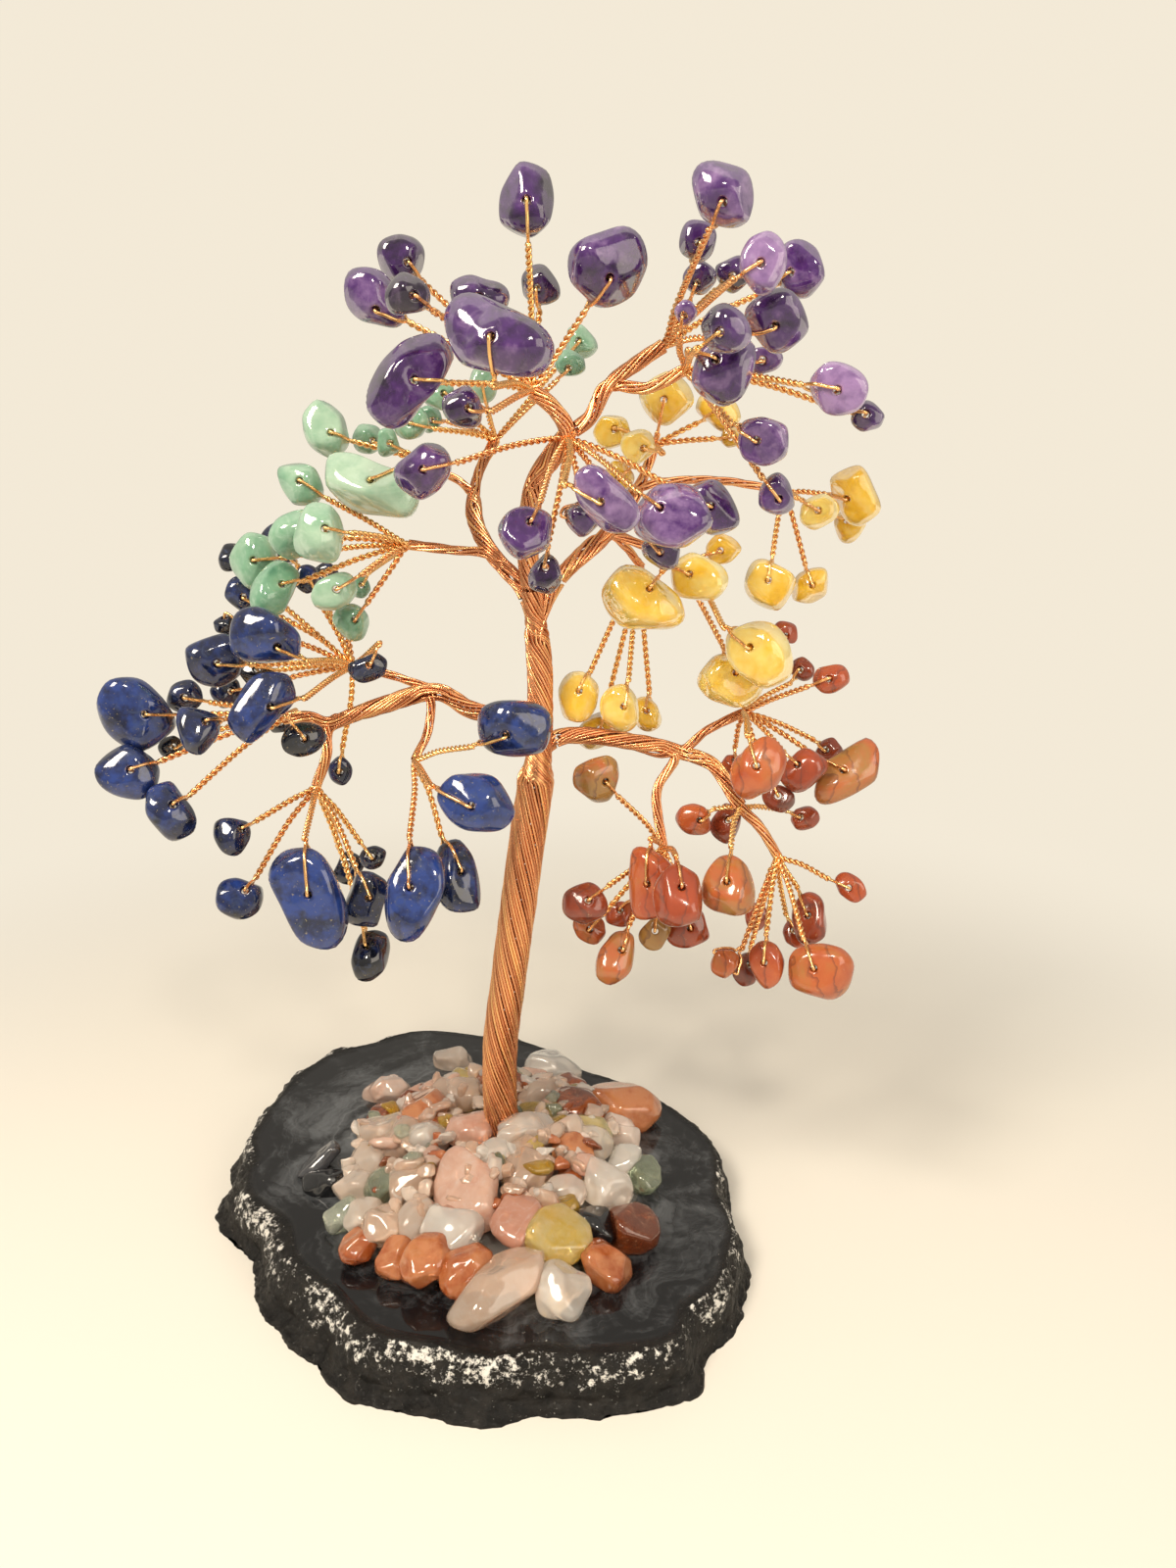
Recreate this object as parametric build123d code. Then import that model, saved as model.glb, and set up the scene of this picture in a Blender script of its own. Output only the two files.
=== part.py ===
from build123d import *
import os
from math import atan2, cos, pi, radians, sin, sqrt

os.makedirs("parts", exist_ok=True)

# Sizes of the base, in millimetres
slice_width = 92.0
slice_thickness = 7.0
rim_run = 5.8               # how far the rough rim slopes outward, on the whole
rim_swing = 1.6             # the rim is this much wider at the front left, and narrower behind
undercut = 1.4              # the underside lies this far inside the widest edge
heap_half_width = 27.0
heap_half_depth = 32.0
heap_back_shift = -3.0
heap_rise = 6.5             # the heap of chips stands this much higher in its middle
resin_radius = 25.0
resin_rise = 6.8

# Sizes of the wire
wire_radius = 0.15
twig_radius = 0.3           # two wires twisted together
trunk_radius = 2.8
stem_radius = 1.9           # the trunk above its two lowest boughs
root_radius = 0.5
root_reach = 8.0
root_count = 9
knot_base = 0.25            # a knot's radius with no twig in it
knot_growth = 0.52          # and what it gains with the square root of its twigs

# Sizes of the stones
stone_length = 10.0         # a stone whose length share is one
stone_thickness = 5.5       # a stone whose width share is one
thickest_stone = 4.6
hole_radius = 0.5
corner_share = 0.24         # of a stone's width
edge_share = 0.4            # of a stone's thickness
hole_shift_share = 0.12     # of a stone's width, towards the twig

# Clearances
seam = 0.05                 # between two pieces that are laid against each other
joint_gap = 0.12            # round the knuckle at the root of a bough
wire_gap = 0.15             # between a loop's wire and the stone's faces
rim_gap = 0.3               # between a stone's rim and the end of its twig
hole_bend = 0.3             # the wire's bends at the two ends of a hole
swing_angle = 14.0          # a free stone turns this far each way on its wire

# Shares of form
bend_share = 0.45           # of the shorter run beside a corner
least_bend = 0.05
bow_share = 0.05            # a twig's bow, of its length
lean_share = 0.28
chip_lean_share = 0.3
loop_rest_share = 0.2       # a loop leaves a stone's face this share of its thickness inside the rim
dish_share = 0.55
knuckle_share = 1.08        # a knuckle at a limb's end is this much thicker than the limb
bevel_share = 0.5           # of a knuckle's radius
joined_share = 0.7          # joined shapes keep at least this share of their single volumes
belt_share = 0.35           # the slice is widest at this share of its thickness
rim_front_angle = 215.0     # where the rim is widest, from the right towards the back
corner_reach_share = 1.15
hidden_ring_step_share = 0.24
hidden_chip_shares = [(.9, .72), (.75, .6), (1.0, .8), (.7, .6)]
chip_growth_share = 1.2     # the part of a chip that its neighbours hide makes it this much larger

# The eye that sees the tree's places, in front of it, and its picture in pixels
eye_side = 15.5
eye_distance = 172.0
eye_height = 124.0
eye_tilt = 16.0             # degrees below the level
focal_pixels = 1200
centre_x_pixels = 600
centre_y_pixels = 800

# Depths and reaches that the shares in the tables below multiply
canopy_depth = 40.0
twig_reach = 20.0
cable_radius = 1.0

# Widest edge of the slice, clockwise from the left, as the eye sees it
slice_edge_pixels = [
    (202, 1208), (204, 1259), (226, 1283), (236, 1334), (285, 1386), (346, 1441), (390, 1453),
    (445, 1461), (508, 1469), (548, 1459), (627, 1461), (674, 1453), (742, 1425), (748, 1394),
    (771, 1374), (793, 1323), (795, 1283), (779, 1251), (773, 1220), (761, 1180), (714, 1141),
    (674, 1117), (595, 1089), (556, 1068), (500, 1058), (453, 1052), (413, 1052), (374, 1062),
    (319, 1077), (271, 1105), (232, 1145), (210, 1176),
]

# Outlines of the tumbled stones, corner by corner, as shares of length and width
outline_shares = {
    "block": [(-.5, -.4), (.42, -.5), (.5, .34), (-.38, .5)],
    "oval": [(-.5, -.06), (-.26, -.5), (.28, -.46), (.5, .04), (.24, .5), (-.28, .46)],
    "bar": [(-.5, -.22), (-.38, -.5), (.44, -.44), (.5, .2), (.36, .5), (-.44, .42)],
    "triangle": [(-.5, -.42), (.5, -.5), (.08, .5)],
    "drop": [(.5, .02), (-.1, .5), (-.5, .22), (-.46, -.3), (-.04, -.5)],
    "kidney": [(-.5, -.1), (-.3, -.5), (.34, -.44), (.5, .02), (.3, .5), (0, .36), (-.34, .48)],
    "wing": [(-.5, -.42), (.34, -.5), (.5, .5), (-.16, .36)],
}

# Sprays of twigs. Each has its bough, its knot's place in pixels, the knot's depth share and the
# reach share of its twigs. Each twig's stone has its place in pixels, the share by which it
# stands before (+) or behind (-) the knot, its length and width shares, its turn and its outline
spray_shares = {
    "crown_upper": ('crown', 545, 400, -0.1, 1.4, [
        (537, 203, 0.2, 0.95, 0.7, 88, "block"),
        (409, 262, -0.5, 0.7, 0.63, 20, "oval"),
        (383, 307, 0.0, 1.22, 0.64, -40, "drop"),
        (415, 301, 0.7, 0.62, 0.47, 10, "oval"),
        (487, 303, 0.1, 0.75, 0.53, 0, "block"),
        (550, 286, -0.1, 0.78, 0.56, 10, "triangle"),
        (620, 272, 0.2, 1.1, 0.74, 15, "kidney"),
        (507, 342, 0.75, 1.46, 0.6, -27, "bar"),
        (416, 390, 0.35, 1.42, 0.59, 47, "bar"),
        (472, 411, 0.7, 0.77, 0.62, -10, "triangle"),
    ]),
    "crown_front": ('crown', 578, 447, -0.1, 1.15, [
        (430, 479, 0.5, 0.75, 0.6, 50, "block"),
        (535, 541, 0.8, 0.78, 0.62, 10, "kidney"),
        (557, 583, 0.6, 0.66, 0.44, 80, "drop"),
        (618, 510, 0.95, 0.93, 0.45, -55, "bar"),
        (590, 527, 0.4, 0.68, 0.6, 60, "triangle"),
        (685, 528, 1.0, 1.12, 0.78, -15, "oval"),
        (728, 517, 0.18, 0.85, 0.62, -45, "block"),
        (676, 564, 0.61, 0.62, 0.42, -40, "oval"),
    ]),
    "right_upper": ('amethyst', 677, 353, -0.05, 1.2, [
        (745, 203, 0.8, 1.0, 0.68, -50, "drop"),
        (712, 245, 0.15, 0.53, 0.45, 100, "oval"),
        (715, 283, -0.15, 0.5, 0.43, 0, "oval"),
        (750, 278, -0.3, 0.46, 0.43, 30, "block"),
        (779, 268, 0.9, 0.75, 0.46, 95, "oval"),
        (815, 275, -0.5, 0.85, 0.63, -60, "kidney"),
        (793, 325, 0.5, 0.83, 0.63, -50, "block"),
    ]),
    "right_lower": ('amethyst', 698, 378, -0.1, 1.2, [
        (741, 336, 0.9, 0.61, 0.56, 10, "oval"),
        (739, 376, 0.6, 0.86, 0.76, 90, "block"),
        (780, 367, 0.0, 0.55, 0.33, 10, "oval"),
        (700, 318, 0.5, 0.32, 0.28, 0, "oval"),
        (859, 402, 0.6, 0.98, 0.68, -45, "drop"),
        (886, 425, 0.0, 0.5, 0.36, -40, "oval"),
        (780, 450, 0.6, 0.78, 0.58, -20, "kidney"),
        (788, 498, 0.5, 0.78, 0.64, 15, "triangle"),
    ]),
    "aventurine_left": ('aventurine', 417, 556, 0.08, 1.3, [
        (304, 492, -0.2, 0.8, 0.56, -55, "oval"),
        (325, 540, 0.4, 1.05, 0.76, 80, "drop"),
        (300, 545, 0.2, 0.77, 0.6, 20, "oval"),
        (258, 572, -0.4, 0.9, 0.62, 70, "oval"),
        (282, 600, 0.05, 0.88, 0.46, 55, "bar"),
        (340, 603, 0.3, 0.68, 0.46, 30, "block"),
        (361, 630, 0.1, 0.78, 0.62, -45, "triangle"),
        (366, 600, -0.6, 0.38, 0.34, 0, "oval"),
    ]),
    "aventurine_middle": ('aventurine', 452, 482, 0.36, 0.8, [
        (336, 443, 0.0, 1.03, 0.66, -65, "drop"),
        (376, 447, -0.5, 0.52, 0.45, 80, "oval"),
        (395, 450, 0.3, 0.48, 0.32, 90, "oval"),
        (378, 497, 0.9, 1.6, 0.6, -25, "bar"),
    ]),
    "aventurine_top": ('aventurine', 505, 450, 0.46, 0.95, [
        (588, 345, 0.0, 0.75, 0.64, 30, "triangle"),
        (583, 372, 1.0, 0.5, 0.36, -10, "oval"),
        (493, 388, 0.3, 0.68, 0.5, 85, "drop"),
        (448, 402, 0.2, 0.58, 0.42, -30, "oval"),
        (417, 430, 0.3, 0.6, 0.48, 20, "block"),
        (438, 427, -0.3, 0.46, 0.38, 80, "oval"),
    ]),
    "citrine_upper": ('citrine', 668, 455, 0.42, 0.65, [
        (678, 403, 0.4, 0.76, 0.7, 40, "block"),
        (625, 440, 0.5, 0.52, 0.5, 0, "oval"),
        (650, 455, 0.9, 0.5, 0.48, 30, "block"),
        (630, 488, 0.6, 0.5, 0.48, 10, "oval"),
        (735, 420, 0.0, 0.76, 0.42, -40, "bar"),
        (747, 447, 0.5, 0.36, 0.28, 10, "oval"),
    ]),
    "citrine_tip": ('citrine', 800, 502, 0.5, 0.8, [
        (874, 505, 0.3, 0.94, 0.64, -50, "block"),
        (836, 522, 0.5, 0.66, 0.48, 10, "oval"),
        (868, 535, -0.3, 0.6, 0.46, -15, "oval"),
        (785, 598, 0.8, 0.92, 0.68, -30, "kidney"),
        (827, 598, -0.5, 0.64, 0.54, 20, "block"),
    ]),
    "citrine_middle": ('citrine', 690, 572, 0.32, 1.3, [
        (713, 589, 0.64, 0.88, 0.7, -20, "oval"),
        (657, 612, 0.82, 1.26, 0.78, -40, "kidney"),
        (738, 560, 0.15, 0.6, 0.45, 10, "oval"),
        (778, 660, 1.0, 1.75, 1.0, -50, "triangle"),
        (748, 695, 0.75, 1.12, 0.72, -10, "oval"),
    ]),
    "citrine_hanging": ('citrine', 655, 578, 0.35, 1.3, [
        (591, 712, 0.5, 0.88, 0.6, 80, "oval"),
        (612, 745, 0.0, 0.73, 0.55, 20, "block"),
        (633, 724, 0.6, 0.78, 0.55, 85, "oval"),
        (662, 731, 0.1, 0.68, 0.44, -60, "drop"),
    ]),
    "lapis_upper": ('lapis', 362, 680, 0.05, 1.25, [
        (374, 682, 0.5, 0.56, 0.36, 15, "bar"),
        (276, 651, 0.7, 1.18, 0.8, -30, "drop"),
        (288, 556, -1.0, 0.75, 0.62, 60, "oval"),
        (235, 568, -1.0, 0.5, 0.36, 60, "oval"),
        (247, 607, -0.4, 0.6, 0.45, -30, "block"),
        (229, 635, -0.3, 0.45, 0.38, -20, "triangle"),
        (313, 590, -0.05, 0.42, 0.32, 80, "block"),
        (332, 585, -0.55, 0.46, 0.34, 20, "oval"),
        (267, 719, 0.9, 1.12, 0.48, 50, "bar"),
        (217, 674, 0.45, 0.78, 0.68, 30, "block"),
        (260, 685, 0.0, 0.5, 0.4, -30, "block"),
        (230, 707, -0.2, 0.55, 0.42, 40, "oval"),
        (348, 789, 0.0, 0.5, 0.38, -70, "drop"),
    ]),
    "lapis_tip": ('lapis', 290, 733, -0.15, 1.2, [
        (137, 728, -0.1, 1.15, 0.86, -40, "block"),
        (204, 740, 0.55, 0.95, 0.72, -70, "triangle"),
        (187, 711, -0.3, 0.6, 0.4, 20, "oval"),
        (173, 762, -0.3, 0.4, 0.3, 30, "oval"),
        (130, 789, 0.0, 0.84, 0.66, -30, "block"),
        (173, 828, 0.3, 0.9, 0.5, -70, "bar"),
        (310, 754, 0.3, 0.62, 0.36, 10, "bar"),
        (285, 738, -0.4, 0.36, 0.28, 10, "oval"),
    ]),
    "lapis_lower": ('lapis', 323, 802, -0.2, 1.35, [
        (240, 848, 0.15, 0.82, 0.62, -55, "triangle"),
        (247, 915, 0.0, 0.82, 0.68, 20, "drop"),
        (318, 916, 0.45, 1.5, 0.82, -70, "bar"),
        (374, 920, 0.25, 0.86, 0.6, 80, "block"),
        (378, 973, -0.3, 0.74, 0.5, 85, "bar"),
        (355, 886, -0.3, 0.55, 0.4, 60, "oval"),
        (380, 875, -0.15, 0.45, 0.3, 10, "oval"),
    ]),
    "lapis_inner": ('lapis', 423, 775, -0.2, 1.05, [
        (423, 913, 1.0, 1.5, 0.7, 88, "oval"),
        (468, 898, 0.2, 1.18, 0.58, 95, "block"),
        (492, 823, 0.9, 1.14, 0.92, -30, "drop"),
        (525, 743, 0.7, 1.08, 0.86, 5, "block"),
    ]),
    "jasper_upper": ('jasper', 758, 727, 0.1, 1.0, [
        (847, 693, 0.2, 0.6, 0.4, 15, "oval"),
        (820, 683, -0.3, 0.46, 0.32, -40, "oval"),
        (802, 645, -1.0, 0.5, 0.36, -20, "oval"),
        (773, 785, 0.9, 0.92, 0.58, 45, "bar"),
        (819, 786, 0.3, 0.77, 0.53, 45, "kidney"),
        (861, 790, -0.1, 1.62, 0.72, 25, "wing"),
        (846, 765, -0.4, 0.46, 0.32, 20, "oval"),
        (795, 815, 0.2, 0.5, 0.36, -30, "block"),
        (749, 780, -0.2, 0.46, 0.32, 0, "oval"),
    ]),
    "jasper_middle": ('jasper', 755, 822, 0.0, 0.85, [
        (821, 834, -0.5, 0.5, 0.34, 10, "oval"),
        (708, 836, -0.2, 0.54, 0.48, 20, "block"),
        (741, 840, -0.4, 0.72, 0.42, 70, "oval"),
        (744, 911, 1.0, 1.06, 0.8, -65, "drop"),
    ]),
    "jasper_left": ('jasper', 677, 864, -0.05, 1.0, [
        (611, 791, 0.5, 0.8, 0.7, 60, "drop"),
        (664, 905, 0.35, 1.2, 0.62, 95, "block"),
        (694, 915, 0.75, 0.9, 0.6, 85, "bar"),
        (595, 923, 0.5, 0.66, 0.58, 20, "oval"),
        (602, 948, -0.1, 0.52, 0.44, -20, "block"),
        (629, 974, 0.2, 1.12, 0.6, 65, "drop"),
        (632, 933, -0.2, 0.55, 0.38, 10, "oval"),
        (668, 953, -0.1, 0.6, 0.4, 60, "oval"),
        (703, 948, -0.3, 0.74, 0.56, 30, "block"),
    ]),
    "jasper_lower": ('jasper', 793, 873, 0.0, 1.0, [
        (828, 938, -0.1, 0.88, 0.4, 100, "bar"),
        (810, 953, -0.35, 0.5, 0.3, 90, "oval"),
        (833, 992, 0.8, 1.0, 0.8, 5, "block"),
        (781, 984, 0.4, 0.82, 0.42, 100, "oval"),
        (762, 989, -0.2, 0.6, 0.38, 80, "oval"),
        (736, 979, 0.3, 0.68, 0.58, 30, "triangle"),
        (772, 935, -0.2, 0.5, 0.34, 90, "oval"),
        (868, 907, 0.0, 0.6, 0.36, -40, "oval"),
    ]),
}

# Boughs. Each has the place of its hinge, then its limbs: a radius share and the places that the
# limb runs through, each in pixels with a depth share. The first limb starts at the hinge
bough_shares = {
    "lapis": ((521, 736, 0.0), [
        (1.3, [(521, 736, 0.0), (480, 724, -.03), (445, 706, -.05), (395, 718, -.08),
               (340, 738, -.12)]),
        (0.9, [(340, 738, -.12), (316, 732, -.14), (290, 733, -.15)]),
        (0.65, [(445, 706, -.05), (400, 689, .0), (362, 680, .05)]),
        (0.65, [(445, 706, -.05), (437, 745, -.12), (423, 775, -.2)]),
        (0.75, [(340, 738, -.12), (333, 772, -.17), (323, 802, -.2)]),
    ]),
    "jasper": ((590, 750, .05), [
        (1.3, [(590, 750, .05), (640, 756, .08), (690, 767, .09)]),
        (1.1, [(690, 767, .09), (728, 781, .06), (755, 822, 0)]),
        (0.8, [(755, 822, 0), (777, 846, -.01), (793, 873, 0)]),
        (0.7, [(690, 767, .09), (722, 745, .1), (758, 727, .1)]),
        (0.75, [(690, 767, .09), (670, 808, .03), (677, 864, -.05)]),
    ]),
    "aventurine": ((525, 590, .03), [
        (1.2, [(525, 590, .03), (503, 566, .07), (486, 535, .17), (483, 507, .26)]),
        (0.8, [(483, 507, .26), (490, 478, .36), (505, 450, .46)]),
        (0.65, [(483, 507, .26), (470, 492, .31), (452, 482, .36)]),
        (0.7, [(503, 566, .07), (460, 561, .07), (417, 556, .08)]),
    ]),
    "citrine": ((585, 575, .08), [
        (1.2, [(585, 575, .08), (618, 546, .17), (650, 500, .34)]),
        (0.8, [(650, 500, .34), (660, 478, .39), (668, 455, .42)]),
        (0.65, [(650, 500, .34), (700, 490, .42), (750, 492, .46), (800, 502, .5)]),
        (0.7, [(618, 546, .17), (655, 556, .26), (690, 572, .32)]),
        (0.65, [(618, 546, .17), (638, 558, .28), (655, 578, .35)]),
    ]),
    "crown": ((539, 573, -.02), [
        (1.5, [(539, 573, -.02), (540, 528, -.03), (549, 488, -.05), (578, 447, -.1)]),
        (1.1, [(578, 447, -.1), (568, 420, -.11), (545, 400, -.1)]),
    ]),
    "amethyst": ((603, 425, -.09), [
        (1.0, [(603, 425, -.09), (620, 394, -.08), (648, 372, -.06), (677, 353, -.05)]),
        (0.8, [(620, 394, -.08), (660, 396, -.09), (698, 378, -.1)]),
    ]),
}
bough_nodes = {
    "lapis": "lapis_bough", "jasper": "jasper_bough", "aventurine": "aventurine_bough",
    "citrine": "citrine_bough", "crown": "crown_stem", "amethyst": "amethyst_bough",
}

# The trunk's places in pixels with depth shares, and the carrier of each stub of a bough with the
# place that the stub grows from
trunk_shares = [(510, 1075, 0), (520, 990, 0), (539, 850, 0), (551, 752, 0)]
stem_shares = [(551, 752, 0), (551, 690, 0), (547, 620, 0)]
foot_shift = 1.7            # the trunk's foot stands this far right of the slice's middle
stub_shares = {
    "lapis": ("trunk", (551, 745, 0)), "jasper": ("trunk", (552, 740, 0)),
    "aventurine": ("trunk", (547, 622, 0)), "citrine": ("trunk", (548, 628, 0)),
    "crown": ("trunk", (547, 625, 0)), "amethyst": ("crown", (578, 447, -.1)),
}

# Stones that swing freely on their wires: node name, spray and place in its list
swinging_stones = {
    "top_amethyst": ("crown_upper", 0),
    "pale_amethyst": ("right_lower", 4),
    "bright_lapis": ("lapis_inner", 2),
    "corner_lapis": ("lapis_inner", 3),
    "wing_jasper": ("jasper_upper", 5),
    "block_jasper": ("jasper_lower", 2),
}

# Chips of the heap: node name, then place in pixels, length and width shares, turn and outline
chip_shares = {
    "clear_quartz_chips": [
        (392, 1158, .77, .65, 0, "oval"), (432, 1163, .63, .56, 60, "block"),
        (450, 1122, .67, .6, 70, "oval"), (461, 1082, .7, .46, 30, "kidney"),
        (533, 1157, .83, .7, 0, "block"), (540, 1195, .7, .6, 30, "oval"),
        (377, 1183, .56, .52, 10, "block"), (371, 1240, .55, .48, 40, "oval"),
        (392, 1251, .58, .56, 0, "block"), (424, 1246, .67, .5, 70, "oval"),
        (420, 1205, .68, .6, 20, "block"), (365, 1210, .62, .52, -30, "oval"),
        (577, 1215, .62, .45, 10, "oval"), (505, 1182, .57, .52, 50, "block"),
        (622, 1212, .95, .72, -40, "drop"), (640, 1185, .57, .52, 0, "oval"),
        (458, 1258, .77, .6, -10, "kidney"), (561, 1092, .85, .78, -30, "block"),
        (509, 1312, 1.3, .6, 45, "bar"), (571, 1318, .8, .66, 10, "oval"),
    ],
    "rose_quartz_chips": [
        (481, 1220, 1.35, .82, -60, "drop"), (529, 1245, .92, .62, 80, "oval"),
        (397, 1112, .73, .46, 80, "bar"), (420, 1130, .6, .47, -60, "oval"),
        (443, 1192, .53, .5, 0, "block"), (631, 1155, .7, .45, 80, "oval"),
        (482, 1152, .7, .62, 30, "block"), (558, 1240, .5, .42, 0, "oval"),
    ],
    "carnelian_chips": [
        (620, 1127, 1.55, .82, -15, "wing"), (646, 1253, .66, .66, 0, "block"),
        (477, 1297, .68, .56, 30, "block"), (451, 1151, .48, .4, 60, "oval"),
        (589, 1178, .76, .54, -20, "drop"), (583, 1203, .42, .36, 0, "oval"),
        (366, 1270, .46, .44, 0, "oval"), (405, 1283, .5, .38, 80, "bar"),
        (433, 1287, .65, .58, 10, "oval"), (620, 1290, .68, .58, -20, "block"),
        (395, 1137, .65, .4, 20, "bar"), (577, 1110, .68, .5, 80, "oval"),
    ],
    "citrine_chips": [
        (477, 1108, .62, .56, -30, "block"), (557, 1140, .93, .54, -60, "drop"),
        (601, 1158, .7, .56, -30, "oval"), (571, 1262, .95, .7, -30, "drop"),
        (575, 1232, .46, .4, 0, "oval"),
    ],
    "green_chips": [
        (392, 1210, .6, .5, 20, "oval"), (349, 1240, .55, .36, 40, "oval"),
        (655, 1197, .62, .45, 80, "block"),
    ],
    "dark_chips": [
        (608, 1251, .6, .46, 85, "oval"), (325, 1186, .8, .36, 20, "bar"),
        (332, 1207, .7, .34, 0, "bar"),
    ],
}
hidden_chip_count = 13      # chips behind the trunk, dealt out to the heap's nodes in turn
hidden_ring_share = 0.58    # of the heap's half sizes


# A line of sight through a place in the picture
def sight(x, y):
    level = across * ((x - centre_x_pixels) / focal_pixels)
    return ahead + level - upward * ((y - centre_y_pixels) / focal_pixels)


def at_depth(x, y, depth_share):
    line = sight(x, y)
    return eye + line * ((depth_share * canopy_depth + eye_distance) / line.Y)


def at_height(x, y, height):
    line = sight(x, y)
    return eye + line * ((height - eye_height) / line.Z)


# The place on a line of sight that lies within a twig's reach of its knot
def within_reach(x, y, side_share, knot, reach):
    line = sight(x, y).normalized()
    nearest = (knot - eye).dot(line)
    missed = (knot - eye).dot(knot - eye) - nearest ** 2
    half_chord = sqrt(max(reach ** 2 - missed, 0))
    return eye + line * (nearest - side_share * half_chord)


# The place on a line of sight where a chip lies on the heap, by halving steps
def on_heap(x, y, thickness):
    line = sight(x, y)
    near = (eye_height - slice_thickness - thickness - 2 * heap_rise) / -line.Z
    far = (eye_height - slice_thickness) / -line.Z
    for halving in range(30):
        middle = (near + far) / 2
        place = eye + line * middle
        if place.Z > heap_height(place.X, place.Y) + thickness / 2:
            near = middle
        else:
            far = middle
    return place


def heap_height(x, y):
    spread = (x / heap_half_width) ** 2 + ((y - heap_back_shift) / heap_half_depth) ** 2
    return slice_thickness + heap_rise * max(1 - spread, 0)


# A round rod along straight runs joined by arcs
def rod(places, radius, bend_radii=None):
    line = FilletPolyline(*places, radius=bend_radii or bends(places))
    return sweep(Plane(origin=line @ 0, z_dir=line % 0) * Circle(radius), line)


# Arcs as large as the runs beside each corner allow
def bends(places):
    radii = []
    for before, corner, after in zip(places, places[1:], places[2:]):
        turn = radians((corner - before).get_angle(after - corner))
        run = min((corner - before).length, (after - corner).length)
        radii.append(bend_share * run / max(sin(turn / 2) / cos(turn / 2), least_bend))
    return radii


# One solid from shapes that cross, in the first order that joins them all
def join(shapes):
    least = joined_share * sum(shape.volume for shape in shapes)
    for first in range(len(shapes)):
        order = shapes[first:] + shapes[:first]
        joined = order[0].fuse(*order[1:])
        if len(joined.solids()) == 1 and joined.volume > least:
            return joined
    raise ValueError("these shapes don't join into one solid")


def stone_thick(width_share):
    return min(stone_thickness * width_share, thickest_stone)


# A tumbled stone: a rounded outline, its two faces crowned by a wide fillet round each rim
def stone_body(length_share, width_share, outline):
    length = length_share * stone_length
    width = width_share * stone_length
    thick = stone_thick(width_share)
    corners = [(x * length, y * width) for x, y in outline_shares[outline]]
    face = make_face(Polyline(*corners, close=True))
    face = fillet(face.vertices(), corner_share * width)
    body = extrude(face, thick / 2, both=True)
    faces = body.faces().sort_by(Axis.Z)
    return fillet(faces[0].edges() + faces[-1].edges(), edge_share * thick)


# How far an outline reaches from a point in it towards a direction, over a swing each way
def outline_reach(length_share, width_share, outline, start, angle, swing):
    corners = [(x * length_share * stone_length - start[0], y * width_share * stone_length - start[1])
               for x, y in outline_shares[outline]]
    reaches = []
    for turn in (-swing, -swing / 2, 0, swing / 2, swing):
        turned = angle + radians(turn)
        reaches += [x * cos(turned) + y * sin(turned) for x, y in corners]
    return max(reaches)


# Directions pushed apart until twigs that leave a knot side by side have room
def spread_out(directions, least_angle):
    for step in range(40):
        for first in range(len(directions)):
            for second in range(first):
                one, other = directions[first], directions[second]
                angle = radians(one.get_angle(other))
                if angle < least_angle:
                    push = (one - other).normalized() * ((least_angle - angle) / 2 + 0.001)
                    directions[first] = (one + push).normalized()
                    directions[second] = (other - push).normalized()
    return directions


# A stone of the tree, drilled and turned to its place, with the wire through it. The answer holds
# the stone, the twig's far end, the hole's middle and axis, and the loop's wire
def hang_stone(number, row, knot, reach, swing):
    x, y, side_share, length_share, width_share, turn, outline = row
    place = within_reach(x, y, side_share, knot, reach)
    plane = facing_plane(place, number, turn)
    width = width_share * stone_length
    thick = stone_thick(width_share)
    to_knot = knot - place
    angle = atan2(to_knot.dot(plane.y_dir), to_knot.dot(plane.x_dir))
    shift = hole_shift_share * width
    hole_place = (shift * cos(angle), shift * sin(angle))
    drill = Pos(*hole_place) * Cylinder(hole_radius, 2 * thick)
    stone = plane.location * (stone_body(length_share, width_share, outline) - drill)
    hole = plane.from_local_coords(hole_place)
    out = plane.x_dir * cos(angle) + plane.y_dir * sin(angle)
    rim = outline_reach(length_share, width_share, outline, hole_place, angle, swing)
    end = rim + edge_share * thick + rim_gap
    rise = thick / 2 + wire_gap + wire_radius
    side = plane.z_dir
    loop_places = [
        hole + out * (end + twig_radius) + side * wire_radius,
        hole + out * (rim - thick * loop_rest_share) + side * rise,
        hole + side * rise,
        hole - side * rise,
        hole + out * (rim - thick * loop_rest_share) - side * rise,
        hole + out * (end + twig_radius) - side * wire_radius,
    ]
    loop = rod(loop_places, wire_radius, [twig_radius, hole_bend, hole_bend, twig_radius])
    return stone, hole + out * end, hole, side, loop


# The plane of a stone: it looks at the eye, leaning a little further for each stone in turn
def facing_plane(place, number, turn):
    view = (eye - place).normalized()
    level = across - view * across.dot(view)
    rise = view.cross(level)
    lean = level * (lean_share * sin(2.4 * number)) + rise * (lean_share * cos(1.7 * number))
    normal = (view + lean).normalized()
    along = level.normalized() * cos(radians(turn)) + rise.normalized() * sin(radians(turn))
    return Plane(origin=place, x_dir=along - normal * along.dot(normal), z_dir=normal)


# One twig from its knot to a stone's loop, bowed a little upward
def twig_rod(start, direction, end):
    length = (end - start).length
    middle = start + direction * (length / 2) + upward * (bow_share * length)
    return rod([start, middle, end], twig_radius)


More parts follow.
